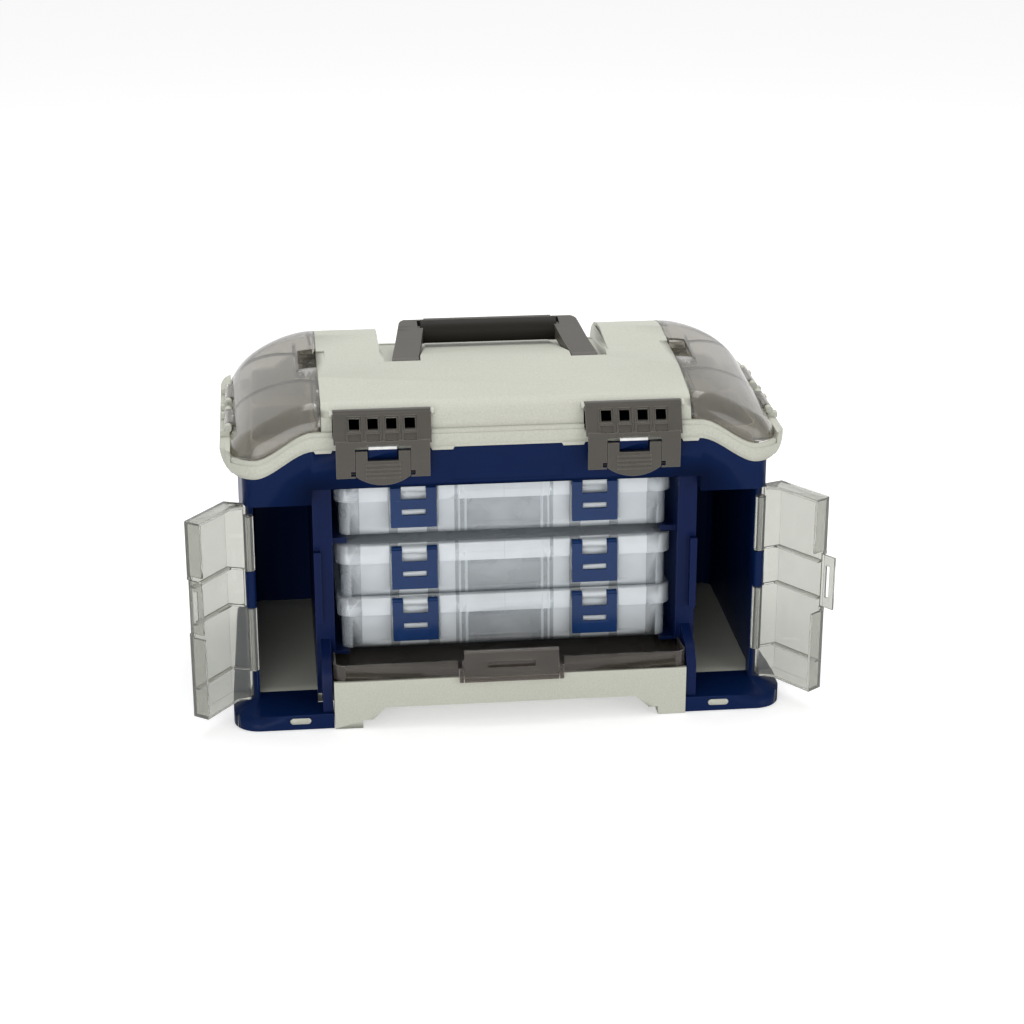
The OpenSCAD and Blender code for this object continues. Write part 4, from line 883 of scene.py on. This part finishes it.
    def round_edges(self, piece: bpy.types.Object, width: float, smooth: float = 50.0) -> None:
        """Rounds every edge of a piece and smooths its shading.

        Args:
            piece: The piece.
            width: Width of the rounding in mm.
            smooth: Angle in degrees under which faces shade as one surface.
        """
        self.take(piece)
        bpy.ops.object.mode_set(mode="EDIT")
        bpy.ops.mesh.select_all(action="SELECT")
        bpy.ops.mesh.bevel(offset=width * MM, segments=self.segments)
        bpy.ops.mesh.normals_make_consistent(inside=False)
        bpy.ops.object.mode_set(mode="OBJECT")
        bpy.ops.object.shade_smooth_by_angle(angle=math.radians(smooth))

    def row(self, piece: bpy.types.Object, shifts: list[Point]) -> bpy.types.Object:
        """Repeats a piece at each shift in mm and joins the copies into it.

        Args:
            piece: The first of them.
            shifts: Where the copies stand, from the first.

        Returns:
            The joined piece.
        """
        copies = []
        for shift in shifts:
            copy = bpy.data.objects.new(piece.name, piece.data.copy())
            bpy.context.collection.objects.link(copy)
            copy.data.transform(Matrix.Translation([s * MM for s in shift]))
            copies.append(copy)
        self.take(piece)
        for copy in copies:
            copy.select_set(True)
        bpy.ops.object.join()
        return piece


@dataclass
class Cabinet:
    """Body, base pan and the parts fixed to them."""

    keeper_edge: float = 0.4

    def dress(self, shop: Workshop) -> None:
        """Gives the body and the base their plastics, and rounds the keepers, whose white is a painted
        highlight, and the pins and screws.

        Args:
            shop: The workshop.
        """
        shop.soften("body_shell", NAVY, SHADED_ONLY)
        shop.soften("base_pan", STONE, SHADED_ONLY)
        shop.soften("latch_keepers", HIGHLIGHT_STRIP, self.keeper_edge)
        for node in ("base_screws", "lid_hinge_pins", "side_door_pins"):
            shop.soften(node, STEEL, PIN_EDGE)


@dataclass
class Rack:
    """The two pillars with the ledges that the utility boxes slide on."""

    edge: float = 0.5
    screw_edge: float = 0.3

    def dress(self, shop: Workshop) -> None:
        """Rounds the pillars and the screw heads.

        Args:
            shop: The workshop.
        """
        for side in Side:
            shop.soften(f"rack_{side.word}", NAVY_SATIN, self.edge)
        shop.soften("rack_screws", STEEL, self.screw_edge)


@dataclass
class UtilityBox:
    """One flat clear box with its lid, dividers and two blue latches."""

    number: int
    divider_edge: float = 0.3
    latch_edge: float = 0.5

    def dress(self, shop: Workshop) -> None:
        """Gives the tub and the lid their clear finish, and rounds the box's smaller parts.

        Args:
            shop: The workshop.
        """
        name = f"box_{self.number}"
        shop.soften(f"{name}_tub", CLEAR, SHADED_ONLY)
        shop.soften(f"{name}_lid", CLEAR_LID, SHADED_ONLY)
        shop.soften(f"{name}_dividers", CLEAR_WALL, self.divider_edge)
        shop.soften(f"{name}_hinge_rod", CLEAR_WALL, PIN_EDGE)
        for side in Side:
            shop.soften(f"{name}_latch_{side.word}", LATCH_BLUE, self.latch_edge)


@dataclass
class FrontDoor:
    """The smoke door stored flat under the boxes, with its latch tab."""

    tab_edge: float = 0.35
    pin_edge: float = 0.1

    def dress(self, shop: Workshop) -> None:
        """Gives the door its smoke finish, and rounds its tab and the tab's pin.

        Args:
            shop: The workshop.
        """
        shop.soften("front_door", SMOKE_FRONT, SHADED_ONLY)
        shop.soften("front_door_tab", SMOKE_FRONT, self.tab_edge)
        shop.soften("front_door_tab_pin", STEEL, self.pin_edge)


@dataclass
class SideDoor:
    """A smoke side door and its small latch tab."""

    side: Side
    smooth: float = 12.0
    tab_edge: float = 0.25

    def dress(self, shop: Workshop) -> None:
        """Gives the door its clear finish and rounds its tab."""
        shop.soften(f"side_door_{self.side.word}", SMOKE, SHADED_ONLY, smooth=self.smooth)
        shop.soften(f"side_door_tab_{self.side.word}", SMOKE, self.tab_edge)


@dataclass
class Lid:
    """The stone lid with its two bins and clear covers."""

    smooth: float = 32.0
    cover_smooth: float = 30.0
    bin_edge: float = 0.5
    pin_edge: float = 0.15

    def dress(self, shop: Workshop) -> None:
        """Gives the lid and the covers their plastics, and rounds the bins and the covers' pins.

        Args:
            shop: The workshop.
        """
        shop.soften("lid_shell", STONE, SHADED_ONLY, smooth=self.smooth)
        for side in Side:
            shop.soften(f"lid_bin_{side.word}", BIN_GREY, self.bin_edge)
            cover = f"top_cover_{side.word}"
            shop.soften(cover, SMOKE_COVER, SHADED_ONLY, smooth=self.cover_smooth)
        shop.soften("top_cover_pins", STEEL, self.pin_edge)


@dataclass
class Handle:
    """The bail with its rubber grip."""

    edge: float = 0.9
    grip_edge: float = 0.8

    def dress(self, shop: Workshop) -> None:
        """Rounds the bail, the grip and their pins.

        Args:
            shop: The workshop.
        """
        shop.soften("handle_bail", WARM_GREY, self.edge, clamp=True)
        shop.soften("handle_grip", GRIP_RUBBER, self.grip_edge)
        shop.soften("handle_pins", STEEL, PIN_EDGE)


@dataclass
class MainLatch:
    """A main latch, its thumb lever and the thin fins that frame its cells.

    The face runs from its low to its top edge, each as (Y, Z) in mm.
    """

    side: Side
    middle: float = 101.0
    pitch: float = 14.8
    cells: int = 4
    face_top: Span = (-98.6, 261.6)
    face_low: Span = (-109.0, 243.6)
    fin_reach: float = 6.9
    fin_spread: float = 0.9
    fin_width: float = 0.8
    fin_height: float = 0.7
    fin_sink: float = 0.8
    fin_foot: float = 5.0
    fin_taper: Point = (1.3, 0.8, 1.0)
    fin_edge: float = 0.25
    edge: float = 0.45
    lever_edge: float = 0.4
    pin_edge: float = 0.1

    def fins(self, shop: Workshop) -> None:
        """Models one fin, leaning with the latch's slanted face, and repeats it beside every cell.

        Args:
            shop: The workshop.
        """
        latch = f"latch_{self.side.word}"
        for lean in (-1, 1):
            first = self.side.value * self.middle + lean * self.fin_reach
            x = first - (self.cells - 1) / 2 * self.pitch
            piece = shop.block(
                f"{latch}_fins_{'b' if lean > 0 else 'a'}",
                (x - self.fin_width / 2, self.face_low[0] - self.fin_height, self.face_low[1]),
                (x + self.fin_width / 2, self.face_low[0] + self.fin_sink, self.face_top[1]),
            )
            over = self.face_top[0] - self.face_low[0]
            by = (-lean * self.fin_spread, over, 0)
            shop.draw_top(piece, self.face_low[1] + self.fin_foot, by, self.fin_taper)
            shop.round_edges(piece, self.fin_edge)
            shop.row(piece, [(self.pitch * i, 0, 0) for i in range(1, self.cells)])
            shop.finished(piece, WARM_GREY, shop.body_of(latch))

    def dress(self, shop: Workshop) -> None:
        """Rounds the latch, its lever and the lever's pins, and adds the fins.

        Args:
            shop: The workshop.
        """
        shop.soften(f"latch_{self.side.word}", WARM_GREY, self.edge)
        shop.soften(f"latch_lever_{self.side.word}", WARM_GREY, self.lever_edge, clamp=True)
        # the lever pins are painted dark, as painted shade of the holes they sit in
        shop.soften(f"lever_pins_{self.side.word}", PAINTED_SHADE_PIN, self.pin_edge)
        self.fins(shop)


@dataclass(frozen=True)
class Lamp:
    """One square soft lamp, in metres and watts."""

    name: str
    at: Point
    size: float
    watts: float
    aim: Point = (0.0, 0.0, 0.12)

    def hang(self) -> None:
        """Adds the lamp, turned to its aim."""
        data = bpy.data.lights.new(self.name, "AREA")
        data.energy = self.watts
        data.size = self.size
        lamp = bpy.data.objects.new(self.name, data)
        bpy.context.collection.objects.link(lamp)
        lamp.rotation_mode = "QUATERNION"
        lamp.rotation_quaternion = (Vector(self.aim) - Vector(self.at)).to_track_quat("-Z", "Y")
        lamp.location = self.at


@dataclass
class Studio:
    """Pale floor, soft lamps and the camera of the photograph."""

    camera_at: Point = (-0.1883, -1.8901, 0.8719)
    back: Point = (-0.0992, -0.9283, 0.3584)
    lens: float = 83.69
    sensor: float = 36.0
    shift_y: float = -0.0059
    ambient: float = 0.6
    floor_size: float = 14.0
    floor_drop: float = 0.0005
    floor_grey: float = 0.8
    floor_glow: float = 0.45
    lamps: tuple[Lamp, ...] = (
        Lamp("key", (-0.7, -2.1, 0.55), 1.2, 15.0),
        Lamp("fill", (1.5, -1.6, 0.5), 1.2, 10.0),
        Lamp("top", (0.1, 0.5, 1.85), 1.4, 17.0, (0.0, 0.0, 0.2)),
    )

    def camera(self) -> None:
        """Makes the camera and hands it to the scene."""
        data = bpy.data.cameras.new("Camera")
        data.lens = self.lens
        data.sensor_width = self.sensor
        data.shift_y = self.shift_y
        camera = bpy.data.objects.new("Camera", data)
        bpy.context.collection.objects.link(camera)
        camera.rotation_mode = "QUATERNION"
        camera.rotation_quaternion = (-Vector(self.back)).to_track_quat("-Z", "Y")
        camera.location = self.camera_at
        bpy.context.scene.camera = camera

    def seen(self, tree: bpy.types.NodeTree) -> Any:
        """Adds nodes that tell the rays that show a thing from the rays that light it.

        Args:
            tree: The node tree to add to.

        Returns:
            A socket that is 1 for camera, transmission and glossy rays.
        """
        ray = add_node(tree, "LightPath")
        kinds = ("Is Camera Ray", "Is Transmission Ray", "Is Glossy Ray")
        return largest(tree, [ray.outputs[kind] for kind in kinds])

    def world(self) -> None:
        """White for the camera, in reflections and through the clear parts, plain grey as a lamp."""
        scene = bpy.context.scene
        scene.world = bpy.data.worlds.new("Studio")
        scene.world.use_nodes = True
        tree = scene.world.node_tree
        tree.nodes.clear()
        plain = add_node(tree, "Background", {"Color": WHITE, "Strength": self.ambient}).outputs[0]
        white = add_node(tree, "Background", {"Color": WHITE, "Strength": 1.0}).outputs[0]
        surface = layered(tree, self.seen(tree), plain, white)
        add_node(tree, "OutputWorld", {}, {"Surface": surface})

    def floor(self) -> None:
        """A wide pale floor that keeps the cabinet's shadow."""
        bpy.ops.mesh.primitive_plane_add(size=self.floor_size, location=(0, 0, -self.floor_drop))
        floor = bpy.context.object
        floor.name = "floor"
        material, tree = new_material("White paper floor")
        grey = (self.floor_grey, self.floor_grey, self.floor_grey, 1.0)
        paint = add_node(tree, "BsdfDiffuse", {"Color": grey}).outputs[0]
        glow = add_node(tree, "Emission", {"Color": WHITE, "Strength": self.floor_glow}).outputs[0]
        both = add_node(tree, "AddShader", {}, {0: paint, 1: glow}).outputs[0]
        surface = layered(tree, self.seen(tree), paint, both)
        add_node(tree, "OutputMaterial", {}, {"Surface": surface})
        floor.data.materials.append(material)

    def build(self) -> None:
        """Sets the stage: plain colours, the camera, the world, the floor and the lamps."""
        bpy.context.scene.view_settings.view_transform = "Standard"
        self.camera()
        self.world()
        self.floor()
        for lamp in self.lamps:
            lamp.hang()


def main() -> None:
    """Builds the sub-assemblies in order and reports each piece."""
    logging.basicConfig(level=logging.INFO, format="%(name)s: %(message)s")
    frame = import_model()
    bpy.ops.object.select_all(action="DESELECT")
    Studio().build()
    shop = Workshop(frame)
    parts = [Cabinet(), Rack(), *(UtilityBox(n) for n in (1, 2, 3)), FrontDoor()]
    parts += [SideDoor(side) for side in Side]
    parts += [Lid(), Handle(), *(MainLatch(side) for side in Side)]
    for part in parts:
        part.dress(shop)
    shop.soften("latch_pins", STEEL, PIN_EDGE)


if __name__ == "__main__":
    main()
